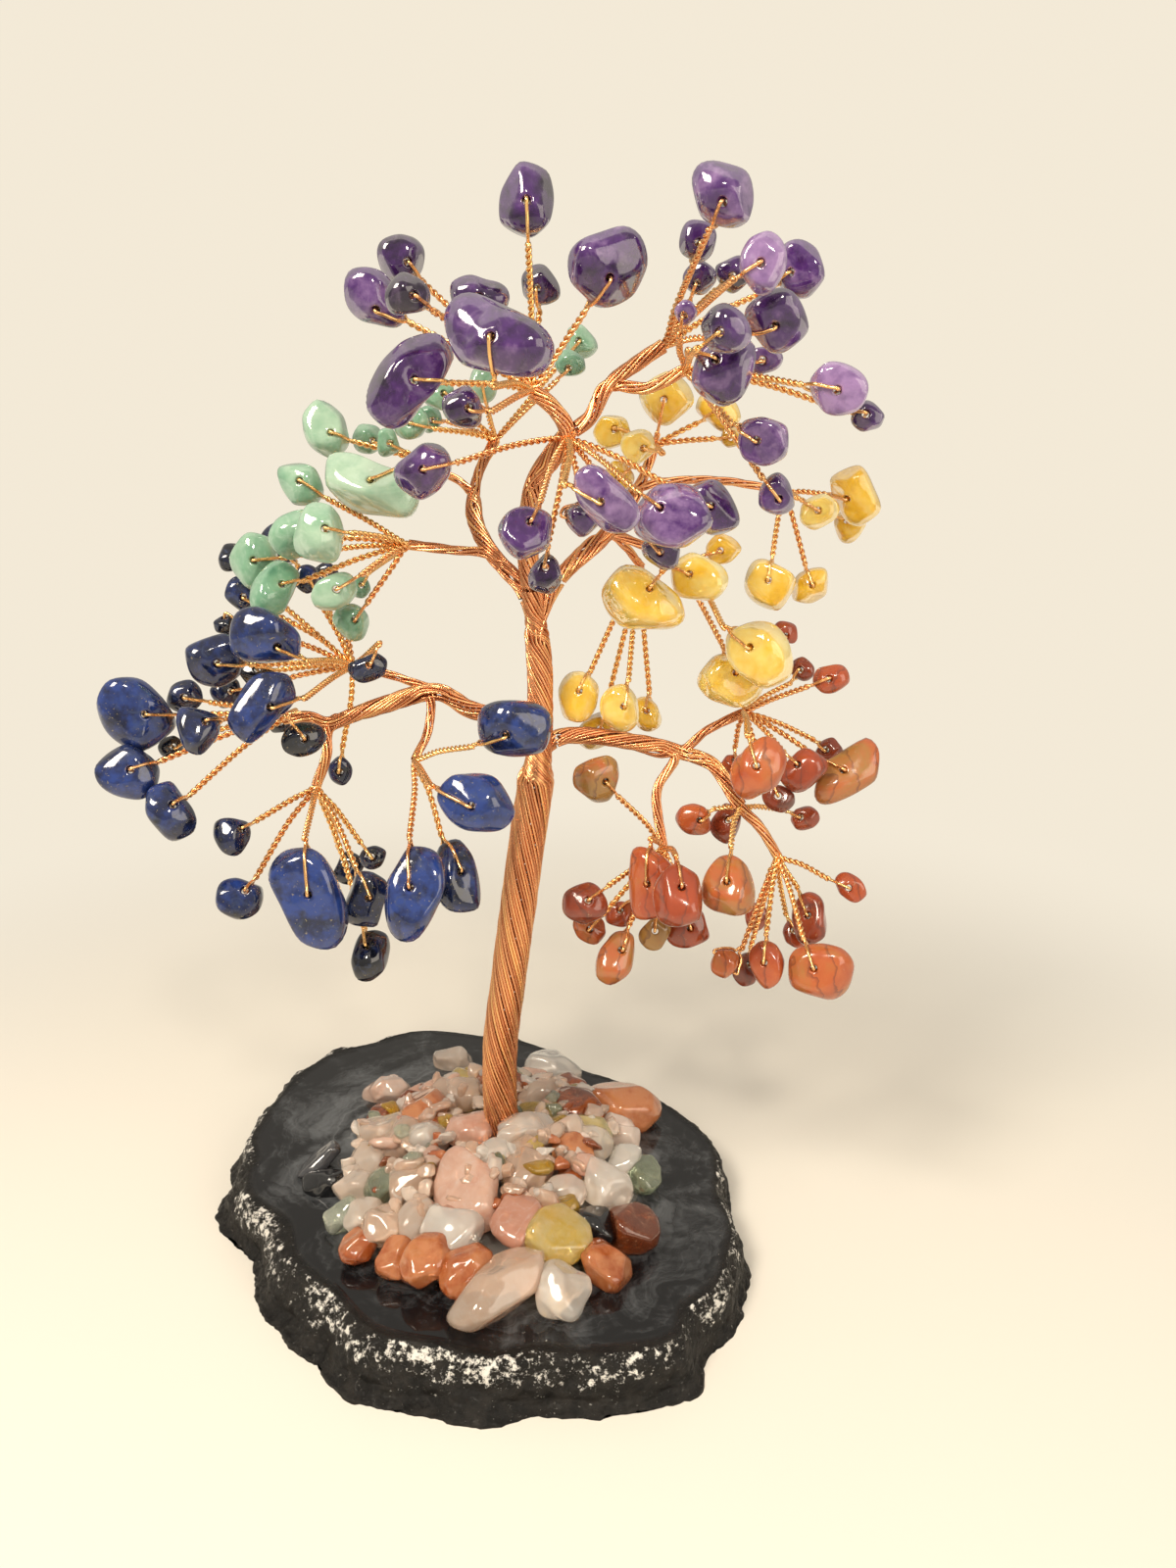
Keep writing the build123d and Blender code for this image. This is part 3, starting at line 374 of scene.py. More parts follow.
# Each kind's colours from dark to light and how clear it is, how much of it is clouded (a quarter
# unless given) and in which colour, how mottled it is (1 unless given), and its specks
stoneLooks = {
    "amethyst": {"colours": ((0.014, 0.005, 0.026), (0.08, 0.024, 0.16), (0.36, 0.22, 0.46)), "clear": 0.25,
                 "cloud": 0.16, "veil": (0.42, 0.3, 0.5), "mottle": 1.3},
    "aventurine": {"colours": ((0.07, 0.21, 0.13), (0.2, 0.4, 0.26), (0.44, 0.61, 0.46)), "clear": 0.15,
                   "cloud": 0.3, "veil": (0.55, 0.7, 0.58)},
    "citrine": {"colours": ((0.55, 0.27, 0.008), (0.9, 0.58, 0.045), (0.96, 0.8, 0.24)), "clear": 0.4,
                "veil": (0.98, 0.88, 0.45), "mottle": 1.2},
    "lapis": {"colours": ((0.004, 0.005, 0.011), (0.008, 0.014, 0.06), (0.016, 0.04, 0.19)), "clear": 0.0,
              "cloud": 0.6, "veil": (0.04, 0.06, 0.13), "mottle": 1.9,
              "speck": 0.37, "speckColour": (0.3, 0.25, 0.14)},
    "clearQuartz": {"colours": ((0.9, 0.64, 0.47), (0.98, 0.8, 0.66), (1.0, 0.95, 0.88)), "clear": 0.66,
                    "veil": (1.0, 0.94, 0.88)},
    "roseQuartz": {"colours": ((0.72, 0.36, 0.25), (0.92, 0.6, 0.46), (0.98, 0.83, 0.73)), "clear": 0.5,
                   "cloud": 0.3, "veil": (0.97, 0.87, 0.8)},
    "carnelian": {"colours": ((0.2, 0.045, 0.012), (0.5, 0.12, 0.03), (0.75, 0.3, 0.12)), "clear": 0.45,
                  "veil": (0.85, 0.5, 0.3), "mottle": 1.4},
    "yellowChips": {"colours": ((0.5, 0.28, 0.01), (0.85, 0.6, 0.1), (0.95, 0.85, 0.5)), "clear": 0.65,
                    "veil": (0.96, 0.88, 0.64)},
    "greenChips": {"colours": ((0.2, 0.24, 0.14), (0.45, 0.5, 0.36), (0.72, 0.75, 0.62)), "clear": 0.7,
                   "veil": (0.72, 0.74, 0.62)},
    "darkChips": {"colours": ((0.005, 0.005, 0.006), (0.016, 0.016, 0.018), (0.06, 0.06, 0.066)), "clear": 0.0,
                  "cloud": 0.15, "veil": (0.14, 0.14, 0.14)},
}


def stoneMaterial(name):
    look = {"cloud": 0.25, "mottle": 1.0, **stoneLooks[name]}
    mottle = look["mottle"]
    paint = Painter(name)
    place = paint.ownPlace()
    tone = paint.attribute("tone")
    broad = paint.noise(210.0, 3.0, 0.5, place, 0.8)
    fine = paint.noise(850.0, 5.0, 0.6, place)
    level = tone + (broad - 0.5) * (0.95 * mottle) + (fine - 0.5) * (0.35 * mottle ** 2)
    colour = paint.ramp(level, *zip((0.08, 0.5, 0.95), look["colours"]))
    veil = paint.between(paint.noise(420.0, 7.0, 0.66, place, 1.8), 0.5, 0.7, 0.0, look["cloud"])
    colour = paint.mix(veil, colour, look["veil"])
    if "speck" in look:
        grains = paint.noise(2100.0, 4.0, 0.7, place)
        grains = paint.between(grains, 1 - look["speck"], 1.07 - look["speck"])
        colour = paint.mix(grains, colour, look["speckColour"])
    return paint.finish(
        {"Transmission Weight": look["clear"], "IOR": 1.54, "Coat Weight": 0.35, "Coat Roughness": 0.04,
         "Specular IOR Level": 0.6},
        {"Base Color": colour, "Roughness": fine * 0.08 + 0.05,
         "Normal": paint.bump(paint.noise(420.0, 2.0, 0.5, place), 0.35)})


jasper = {
    "colours": ((0.16, (0.06, 0.03, 0.022)), (0.3, (0.2, 0.036, 0.016)), (0.48, (0.36, 0.062, 0.02)),
                (0.6, (0.44, 0.11, 0.033)), (0.73, (0.32, 0.17, 0.045))),
    "stripe": (0.1, 0.035, 0.025), "dot": (0.42, 0.24, 0.13),
}


def jasperMaterial():
    paint = Painter("jasper")
    place = paint.ownPlace()
    tone = paint.attribute("tone")
    broad = paint.noise(170.0, 4.0, 0.55, place, 1.1)
    colour = paint.ramp(tone * 0.6 + broad * 0.45, *jasper["colours"])
    stripes = paint.node("TexWave", {"wave_profile": "SAW"}, {
        "Vector": place, "Scale": 95.0, "Distortion": 9.0, "Detail": 4.0, "Detail Scale": 1.4}, 1)
    colour = paint.mix(paint.between(stripes, 0.82, 0.98, 0.0, 0.55), colour, jasper["stripe"])
    dots = paint.between(paint.noise(1500.0, 3.0, 0.6, place), 0.64, 0.74, 0.0, 0.5)
    colour = paint.mix(dots, colour, jasper["dot"])
    return paint.finish({"Coat Weight": 0.4, "Coat Roughness": 0.05, "Specular IOR Level": 0.6},
                        {"Base Color": colour, "Roughness": broad * 0.16 + 0.09,
                         "Normal": paint.bump(paint.noise(420.0, 2.0, 0.5, place), 0.3)})


agate = {
    "segments": 560, "rimRows": 36, "belt": 0.3, "lump": 0.0021, "grit": 0.00028, "faceRows": 30,
    "floorRows": (0.02, 0.4, 0.8, 0.97),
    "under": 0.4, "dark": (0.006, 0.006, 0.007), "cloud": (0.115, 0.122, 0.13),
    "speckle": (0.85, 0.82, 0.76), "vein": (0.24, 0.24, 0.24),
    "rock": ((0.004, 0.0035, 0.003), (0.02, 0.017, 0.014)),
}


# The slice: a polished dark face with grey clouds, and a rim of rock with a band of crystals
def agateMaterial():
    paint = Painter("agate")
    rim = paint.attribute("rim")
    inset = paint.attribute("inset")
    climb = paint.attribute("climb")
    warp = paint.noise(34.0, 5.0, 0.62)
    bands = paint.node("TexNoise", {"noise_dimensions": "1D"}, {
        "W": inset * 3.6 + warp * 2.4, "Scale": 2.6, "Detail": 5.0, "Roughness": 0.62})
    clouds = paint.noise(85.0, 8.0, 0.68, None, 0.9)
    ring = paint.between(inset, 0.1, 0.32)
    level = paint.between(bands * 0.36 + clouds * 0.6 + ring * 0.12, 0.46, 0.72)
    face = paint.mix(level, agate["dark"], agate["cloud"])
    veins = paint.between(bands, 0.6, 0.66, 0.0, 0.3)
    face = paint.mix(veins * ring, face, agate["vein"])
    flecks = paint.between(paint.noise(1300.0, 5.0, 0.7), 0.66, 0.72)
    edge = paint.between(paint.noise(75.0, 3.0, 0.5), 0.56, 0.66) * paint.between(inset, 0.16, 0.02)
    face = paint.mix(flecks * edge, face, agate["speckle"])
    grit = paint.noise(420.0, 6.0, 0.72)
    rock = paint.mix(paint.between(grit, 0.4, 0.72), *agate["rock"])
    band = paint.between(climb, 0.36, 0.62) * paint.between(climb, 1.0, 0.9)
    patches = paint.between(paint.noise(110.0, 4.0, 0.6), 0.36, 0.58, 0.3, 1.0)
    grains = paint.between(paint.noise(800.0, 7.0, 0.8) + (band * patches - 1.0) * 0.16, 0.49, 0.53)
    few = paint.between(paint.noise(1300.0, 5.0, 0.8), 0.63, 0.67, 0.0, 0.7)
    white = grains.math("MAXIMUM", grains, few * 0.6)
    rock = paint.mix(white, rock, agate["speckle"])
    colour = paint.mix(rim, face, rock)
    roughness = rim * (0.36 + white * 0.2) + 0.07
    bump = paint.bump((paint.noise(600.0, 7.0, 0.76) + white * 0.4) * rim, 0.8, 0.0006)
    return paint.finish({"Specular IOR Level": 0.28},
                        {"Base Color": colour, "Roughness": roughness, "Normal": bump,
                         "Coat Weight": 0.22 - rim * 0.2})


resin = {
    "columns": 150, "rows": 40, "reach": 0.97, "height": 0.86, "wave": 0.1, "lump": 0.0006,
    "colours": ((0.86, 0.82, 0.74), (0.96, 0.94, 0.9)),
}


def resinMaterial():
    paint = Painter("clearResin")
    cloudy = paint.noise(300.0, 3.0)
    return paint.finish({"Transmission Weight": 0.85, "IOR": 1.48, "Specular IOR Level": 0.5},
                        {"Base Color": paint.mix(cloudy, *resin["colours"]),
                         "Roughness": cloudy * 0.12 + 0.04,
                         "Normal": paint.bump(paint.noise(500.0, 2.0), 0.5, 0.0004)})


# The closed pieces of a CAD node, in the order in which it lists them
def nodePieces(name):
    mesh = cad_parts[name].data
    raw = np.empty(len(mesh.vertices) * 3, np.float32)
    mesh.vertices.foreach_get("co", raw)
    raw = raw.reshape(-1, 3)
    mesh.calc_loop_triangles()
    triangles = np.empty(len(mesh.loop_triangles) * 3, np.int32)
    mesh.loop_triangles.foreach_get("vertices", triangles)
    cells, first, inverse = np.unique(np.round(raw * 2e6).astype(np.int64), axis=0,
                                      return_index=True, return_inverse=True)
    points = raw[first].astype(float)
    triangles = inverse.reshape(-1)[triangles].reshape(-1, 3)
    labels = np.arange(len(points))
    while True:
        least = labels[triangles].min(axis=1)
        fresh = labels.copy()
        for corner in range(3):
            np.minimum.at(fresh, triangles[:, corner], least)
        fresh = fresh[fresh]
        if (fresh == labels).all():
            break
        labels = fresh
    owner = labels[triangles[:, 0]]
    found = sorted(set(owner.tolist()), key=lambda label: first[labels == label].min())
    pieces = []
    for label in found:
        faces = triangles[owner == label]
        used, local = np.unique(faces, return_inverse=True)
        pieces.append((points[used], local.reshape(-1, 3)))
    return pieces


# A drilled stone's flat direction, and the middle of its hole
def drilledFrame(points, faces):
    a, b, c = (points[faces[:, i]] for i in range(3))
    normals = np.cross(b - a, c - a)
    areas = norm(normals, axis=1)
    normals /= np.maximum(areas, 1e-14)[:, None]
    spread = (normals * areas[:, None]).T @ normals
    normal = np.linalg.eigh(spread)[1][:, -1]
    if normal.dot(eye - points.mean(0)) < 0:
        normal = -normal
    facing = np.abs(normals @ normal)
    flat = np.zeros(len(points), bool)
    wall = np.zeros(len(points), bool)
    flat[faces[facing > 0.999].ravel()] = True
    wall[faces[facing < 0.06].ravel()] = True
    rim = points[flat & wall]
    middle = (rim.min(0) + rim.max(0)) / 2 if len(rim) > 5 else points.mean(0)
    return normal, middle


# Directions spread evenly over a ball
def evenDirections(count, turn):
    i = np.arange(count) + 0.5
    z = 1 - 2 * i / count
    a = math.pi * (1 + math.sqrt(5)) * i + turn
    side = np.sqrt(1 - z * z)
    return np.stack([side * np.cos(a), side * np.sin(a), z], axis=1)


# A body's corners are sharp, with a share of soft ones; its planes wobble and its faces are dented
pebbles = {
    "columns": 52, "rows": 34, "directions": 46, "sharp": 18.0, "soft": 6.0, "softShare": 0.18,
    "wobble": 0.26, "dents": 0.16, "dentSize": 1.6, "hole": 0.00052, "chamfer": 0.00012, "lip": 0.00014,
    "crowding": 1.35, "swing": 16.0, "freeSize": 0.955, "clearance": 0.00004, "freeClearance": 0.0002,
}


# How far a rounded body reaches from its origin in each direction: the planes that bound it give
# one body with firm corners and one with soft corners, and the answer lies between the two
class RoundedBody:
    def __init__(self, points, origin, settings, seed):
        chance = np.random.default_rng(seed)
        self.settings = settings
        self.normals = evenDirections(settings["directions"], seed * 0.7)
        support = np.maximum(((points - origin) @ self.normals.T).max(0), 2e-4)
        self.planes = support * (1 + settings["wobble"] * chance.uniform(-1.0, 0.35, len(support)))
        self.waves = chance.normal(0, settings["dentSize"], (3, 6))
        self.phases = chance.uniform(0, 2 * math.pi, 6)
        test = evenDirections(400, 0.3)
        self.sizes = [1.0, 1.0]
        for i, far in enumerate(self.gauges(test)):
            self.sizes[i] = 1 / np.median(((test * far[:, None]) @ self.normals.T).max(0) / support)

    def gauges(self, directions):
        lean = np.maximum(directions @ self.normals.T, 0) / self.planes
        most = lean.max(axis=1)
        logs = np.log(np.maximum(lean / most[:, None], 1e-9))
        return [size / (most * np.exp(logs * power).sum(axis=1) ** (1 / power))
                for size, power in zip(self.sizes, (self.settings["sharp"], self.settings["soft"]))]

    def reach(self, directions):
        flat = directions.reshape(-1, 3)
        firm, soft = self.gauges(flat)
        dents = 1 + self.settings["dents"] * np.sin(flat @ self.waves + self.phases).mean(axis=1)
        share = self.settings["softShare"]
        return ((firm * (1 - share) + soft * share) * dents).reshape(directions.shape[:-1])


# A tumbled stone with a drilled hole. The answer has its grid of points and what its wire needs
class Pebble:
    def __init__(self, points, faces, seed, swings):
        self.normal, self.hole = drilledFrame(points, faces)
        self.swing = math.radians(pebbles["swing"]) if swings else 0.0
        self.body = RoundedBody(points, self.hole, pebbles, seed)
        if swings:
            self.body.sizes = [size * pebbles["freeSize"] for size in self.body.sizes]
        self.first = unit(np.cross(self.normal, [0.2, 0.1, 1.0]))
        self.second = np.cross(self.normal, self.first)
        self.seed = seed

    def grid(self):
        columns, rows = pebbles["columns"], pebbles["rows"]
        angles = np.arange(columns) * (2 * math.pi / columns)
        outward = swung(self.first, self.second, angles)
        mouth = pebbles["hole"] + pebbles["chamfer"]
        edges = []
        for sign in (1, -1):
            low, high = np.zeros(columns), np.full(columns, math.pi / 2)
            for halving in range(14):
                middle = (low + high) / 2
                far = self.at(outward, sign * middle)[1] > mouth
                low, high = np.where(far, middle, low), np.where(far, high, middle)
            edges.append(low)
        share = np.linspace(1, -1, rows)
        share = np.sign(share) * np.abs(share) ** pebbles["crowding"]
        lines = [self.at(outward, np.where(part > 0, edges[0], edges[1]) * part)[0] for part in share]
        wall = self.hole + outward * pebbles["hole"]
        top, bottom = (wall + self.normal * ((line - self.hole) @ self.normal - lip)[:, None]
                       for line, lip in ((lines[0], pebbles["lip"]), (lines[-1], -pebbles["lip"])))
        return np.stack([top] + lines + [bottom])

    # The surface's point at an elevation beside an outward direction, and its distance from the axis
    def at(self, outward, elevation):
        direction = swung(outward, self.normal, elevation)
        reach = self.body.reach(direction)
        return self.hole + direction * np.expand_dims(reach, -1), reach * np.cos(elevation)

    # The surface's point outward at an elevation, or the farthest that a stone's swing brings there
    def outermost(self, out, elevation):
        turned = swung(out, np.cross(self.normal, out), np.linspace(-self.swing, self.swing, 9))
        reach = self.body.reach(swung(turned, self.normal, elevation)).max()
        return self.hole + swung(out, self.normal, elevation) * reach

    # Where a wire that comes from a place lies on the stone: out of the hole, over the face, off
    # the rim, on one side and then on the other
    def loop(self, source):
        out = source - self.hole
        out = unit(out - self.normal * out.dot(self.normal))
        clear = wire["radius"] + pebbles["freeClearance" if self.swing else "clearance"]
        sides = []
        for sign in (1, -1):
            side = [self.hole]
            up = self.at(out, np.float64(sign * math.pi / 2))[0]
            side.append(up + self.normal * (sign * clear * 1.6))
            for degrees in (62, 40, 25, 14, 6):
                elevation = sign * math.radians(degrees)
                lift = unit(out * math.cos(elevation) + self.normal * math.sin(elevation) * 2)
                side.append(self.outermost(out, elevation) + lift * clear)
            sides.append(side)
        return sides, self.outermost(out, 0.0) + out * wire["loopEnd"], out


# The chain of limbs from the trunk's foot to a limb
def limbChain(name):
    chain = []
    while name:
        chain.insert(0, name)
        name = limbs[name][0]
    return chain


# One path per knot, with the length at which each of its limbs ends
def knotPath(name):
    chain = limbChain(name)
    places, marks = [], []
    for limb in chain:
        for place in limbs[limb][2]:
            point = atDepth(*place)
            if not places or norm(point - places[-1]) > 1e-5:
                places.append(point)
        marks.append(len(places) - 1)
    curve = smoothCurve(places, wire["step"])
    lengths = runLengths(curve)
    return chain, curve, lengths, [lengths[nearest(curve, places[mark])] for mark in marks]


def ringCount(radius):
    return max(int(2 * math.pi * (radius - wire["strand"]) / (wire["spacing"] * wire["strand"])), 5)


# The bundle's wires: each runs from the foot to its knot, on the outside of a limb or inside it
def bundleWires():
    knots = [name for name in limbs if name in sprays]
    paths = {name: knotPath(name) for name in knots}
    strands = [(name, i) for name in knots for i in range(ringCount(limbs[name][1]))]
    slots = {}
    for limb in limbs:
        passing = [strand for strand in strands if limb in paths[strand[0]][0]]
        room = ringCount(limbs[limb][1])
        for order, strand in enumerate(passing):
            outer = int((order + 1) * room / len(passing)) > int(order * room / len(passing))
            slots[limb, strand] = (2 * math.pi * order / len(passing), outer)
    pieces = {"trunk": Shape()}
    chance = np.random.default_rng(5)
    for strand in strands:
        chain, curve, lengths, ends = paths[strand[0]]
        tangents, normals, sideways = carriedFrames(curve)
        keys, angles, radii, inside = [], [], [], []
        start = 0.0
        for limb, end in zip(chain, ends):
            angle, outer = slots[limb, strand]
            if angles:
                angle += 2 * math.pi * round((angles[-1] - angle) / (2 * math.pi))
            radius = limbs[limb][1] - wire["strand"] * (1 if outer else wire["inward"])
            margin = min(wire["margin"], (end - start) * 0.35)
            keys += [start + margin, end - margin]
            angles += [angle, angle]
            radii += [radius, radius]
            inside += [not outer, not outer]
            start = end
        twist = np.radians(wire["trunkTwist"] * np.minimum(lengths, ends[0]) * 100
                           + wire["boughTwist"] * np.maximum(lengths - ends[0], 0) * 100)
        angle = np.interp(lengths, keys, angles) + twist
        radius = np.interp(lengths, keys, radii)
        flare = np.clip(1 - lengths / wire["flareHeight"], 0, 1) ** 2
        radius = radius + chance.uniform(-0.00003, 0.00008) + flare * wire["flare"]
        radius = radius + wire["ripple"] * np.sin(lengths * chance.uniform(500, 900) + chance.uniform(0, 6))
        points = curve + swung(normals, sideways, angle) * radius[:, None]
        hidden = np.interp(lengths, keys, np.array(inside, float)) > 0.999
        tone = chance.uniform(0, 0.75)
        for owner, low, high in bodyStretches(chain, curve, lengths):
            keep = (lengths >= low - 1e-9) & (lengths <= high + 1e-9)
            runs = np.flatnonzero(keep & ~hidden)
            if len(runs) < 3:
                continue
            for run in np.split(runs, np.flatnonzero(np.diff(runs) > 1) + 1):
                if len(run) > 2:
                    piece = pieces.setdefault(owner, Shape())
                    piece.addTube(points[run], wire["strand"], wire["sides"], tone)
    return pieces, paths


# Which piece each stretch of a path belongs to: the trunk, then the bough, then that bough's own
def bodyStretches(chain, curve, lengths):
    cuts = [("trunk", 0.0)]
    for limb in chain:
        if limb in boughs:
            hinge, reach = boughs[limb][:2]
            cuts.append((limb, lengths[nearest(curve, atDepth(*hinge))] - reach))
    ends = [low for owner, low in cuts[1:]] + [lengths[-1]]
    return [(owner, low, high) for (owner, low), high in zip(cuts, ends)]


# Builds the trunk's bundle and each bough's bundle; the stretch around the place where a bough turns is found,
# but the bundle is not bent there
def buildBundles(bundles, paths):
    bundles["trunk"].build("trunk_bundle", materials["copper"], "base", "trunk_wires")
    for name, (place, reach, carrier, node) in boughs.items():
        thing = bundles[name].build(f"{name}_bundle", materials["copper"], None, node)
        hinge = atDepth(*place)
        curve = next(path[1] for path in paths.values() if name in path[0])
        near = nearest(curve, hinge)
        way = unit(curve[near + 3] - curve[near - 3]) * softStretch
        hinge - way
        hinge + way
        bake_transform(thing)


# A pair of wires twisted together from a knot to a stone, with the loop through its hole
def addTwig(shape, pebble, knot, inward):
    sides, end, out = pebble.loop(knot)
    chance = np.random.default_rng(pebble.seed)
    length = norm(end - knot)
    start = knot - inward * wire["pairStart"]
    aim = unit(end - knot)
    sway = np.array([chance.uniform(-1, 1), chance.uniform(-1, 1), 0.8]) * (wire["sway"] * length)
    controls = [start, knot + aim * 0.0006, knot + aim * (0.45 * length) + sway, end + out * 0.0004, end]
    line = smoothCurve(controls, wire["pairStep"])
    tangents, normals, sideways = carriedFrames(line)
    along = np.arange(len(line)) * wire["pairStep"]
    wanted = math.atan2(pebble.normal.dot(sideways[-1]), pebble.normal.dot(normals[-1]))
    pitch = wire["pairPitch"] * chance.uniform(0.85, 1.2)
    angle = 2 * math.pi * (along - along[-1]) / pitch + wanted
    offset = swung(normals, sideways, angle) * wire["pairOffset"]
    front, back = sides
    apart = pebble.normal * wire["pairOffset"]
    over = [end + apart] + front[:0:-1] + [pebble.hole] + back[1:] + [end - apart]
    loop = smoothCurve(over, wire["loopStep"])
    path = np.vstack([line + offset, loop[1:-1], (line - offset)[::-1]])
    shape.addTube(path, wire["radius"], wire["sides"], chance.uniform(0.6, 1.0))


stoneNumbers = itertools.count(1)


# One spray: a free stone is a piece of its own, the others are one piece, and so are the twigs
def hangStones(name, bough, lightness, free, curve):
    kind = "amethyst" if bough == "crown" else bough
    prefix = name if name.startswith(kind) else f"{kind}_{name}"
    waiting = nodePieces(f"{prefix}_stones")
    stones, twigs = Shape(), Shape()
    knot, inward = curve[-1], unit(curve[-1] - curve[-4])
    for place, tenths in enumerate(lightness):
        alone = free.get(place)
        points, faces = nodePieces(alone)[0] if alone else waiting.pop(0)
        pebble = Pebble(points, faces, next(stoneNumbers), bool(alone))
        target = Shape() if alone else stones
        target.addGrid(pebble.grid(), around=True, closed=True, tone=tenths / 10, seed=float(pebble.seed))
        if alone:
            target.build(f"{alone}_stone", materials[kind], alone, alone)
        addTwig(twigs, pebble, knot, inward)
    stones.build(f"{name}_pebbles", materials[kind], f"{bough}_branch", f"{prefix}_stones")
    twigs.build(f"{name}_pairs", materials["copper"], f"{bough}_branch", f"{prefix}_twigs")


chips = {
    "level": 4, "firstSeed": 301, "directions": 22, "sharp": 30.0, "soft": 9.0, "softShare": 0.1,
    "wobble": 0.2, "dents": 0.16, "dentSize": 2.4, "growth": 1.04,
}
heap = {
    "level": 3, "fillers": 190, "firstSeed": 600, "radius": 0.022, "near": 0.002,
    "least": 0.0011, "largest": 0.0023,
}
chipKinds = {
    "clear_quartz_chips": "clearQuartz", "rose_quartz_chips": "roseQuartz", "carnelian_chips": "carnelian",
    "citrine_chips": "yellowChips", "green_chips": "greenChips", "dark_chips": "darkChips",
}


# One chip, as the rounded body of its corners
def addChip(shape, net, points, seed, growth):
    directions, quads = net
    middle = (points.min(0) + points.max(0)) / 2
    reach = RoundedBody(points, middle, chips, seed).reach(directions) * growth
    shape.add(middle + directions * reach[:, None], quads,
              tone=np.random.default_rng(seed).uniform(0, 1), seed=float(seed))


# Small chips that lie on and between the large ones, each in one of the kinds' shapes
def scatterFillers(shapes, net, corners):
    chance = np.random.default_rng(21)
    names = list(shapes)
    middle = (corners.min(0) + corners.max(0)) / 2
    for number in range(heap["fillers"]):
        angle, far = chance.uniform(0, 2 * math.pi), heap["radius"] * math.sqrt(chance.uniform(0.06, 1))
        place = middle[:2] + far * np.array([math.cos(angle), math.sin(angle)])
        size = chance.uniform(heap["least"], heap["largest"])
        near = norm(corners[:, :2] - place, axis=1) < heap["near"]
        if not near.any():
            continue
        height = max(corners[near, 2].max() - 0.4 * size, corners[:, 2].min() + 0.9 * size)
        shares = [chance.uniform(*limits) for limits in ((0.8, 1.5), (0.6, 1.0), (0.5, 0.8))]
        points = chance.uniform(-1, 1, (9, 3)) * (size * np.array(shares))
        turn, lean = chance.uniform(0, math.pi), chance.uniform(-0.7, 0.7)
        points = points @ turning(turn, 0, 1) @ turning(lean, 1, 2)
        kind = names[0] if chance.uniform() < 0.6 else names[chance.integers(len(names) - 1)]
        addChip(shapes[kind], net, np.append(place, height) + points, heap["firstSeed"] + number, 1.0)


def turning(angle, first, second):
    matrix = np.eye(3)
    matrix[first, first] = matrix[second, second] = math.cos(angle)
    matrix[first, second], matrix[second, first] = math.sin(angle), -math.sin(angle)
    return matrix


# A ball's net of near-even points
def roundNet(level):
    count = 2 ** level
    t = np.tan(np.linspace(-1, 1, count + 1) * math.pi / 4)
    u, v = np.meshgrid(t, t, indexing="ij")
    one = np.ones_like(u)
    corner = np.arange((count + 1) ** 2).reshape(count + 1, count + 1)
    square = [corner[:-1, :-1], corner[1:, :-1], corner[1:, 1:], corner[:-1, 1:]]
    square = np.stack(square, axis=-1).reshape(-1, 4)
    sides = [(one, u, v), (-one, v, u), (v, one, u), (u, -one, v), (u, v, one), (v, u, -one)]
    points = np.stack([np.stack(side, axis=-1).reshape(-1, 3) for side in sides])
    points = (points / norm(points, axis=-1)[..., None]).reshape(-1, 3)
    quads = np.vstack([square + number * corner.size for number in range(len(sides))])
    cells, first, inverse = np.unique(np.round(points * 1e6).astype(int), axis=0,
                                      return_index=True, return_inverse=True)
    return points[first], inverse.reshape(-1)[quads]


def layHeap():
    net = roundNet(chips["level"])
    shapes = {node: Shape() for node in chipKinds}
    corners = []
    seeds = itertools.count(chips["firstSeed"])
    for node, shape in shapes.items():
        for points, faces in nodePieces(node):
            addChip(shape, net, points, next(seeds), chips["growth"])
            corners.append(points)
    scatterFillers(shapes, roundNet(heap["level"]), np.vstack(corners))
    for node, kind in chipKinds.items():
        shapes[node].build(f"{node}_heap", materials[kind], "base", node)


# The slice's outline at a height, as a distance for each angle round its middle
def outlineAt(points, height, middle, angles):
    ring = points[np.abs(points[:, 2] - height) < 2e-5][:, :2] - middle
    turns = np.arctan2(ring[:, 1], ring[:, 0])
    far = norm(ring, axis=1)
    keep = far > 0.6 * far.max()
    order = np.argsort(turns[keep])
    turns, far = turns[keep][order], far[keep][order]
    turns = np.r_[turns[-1] - 2 * math.pi, turns, turns[0] + 2 * math.pi]
    return np.interp(angles, turns, np.r_[far[-1], far, far[0]])


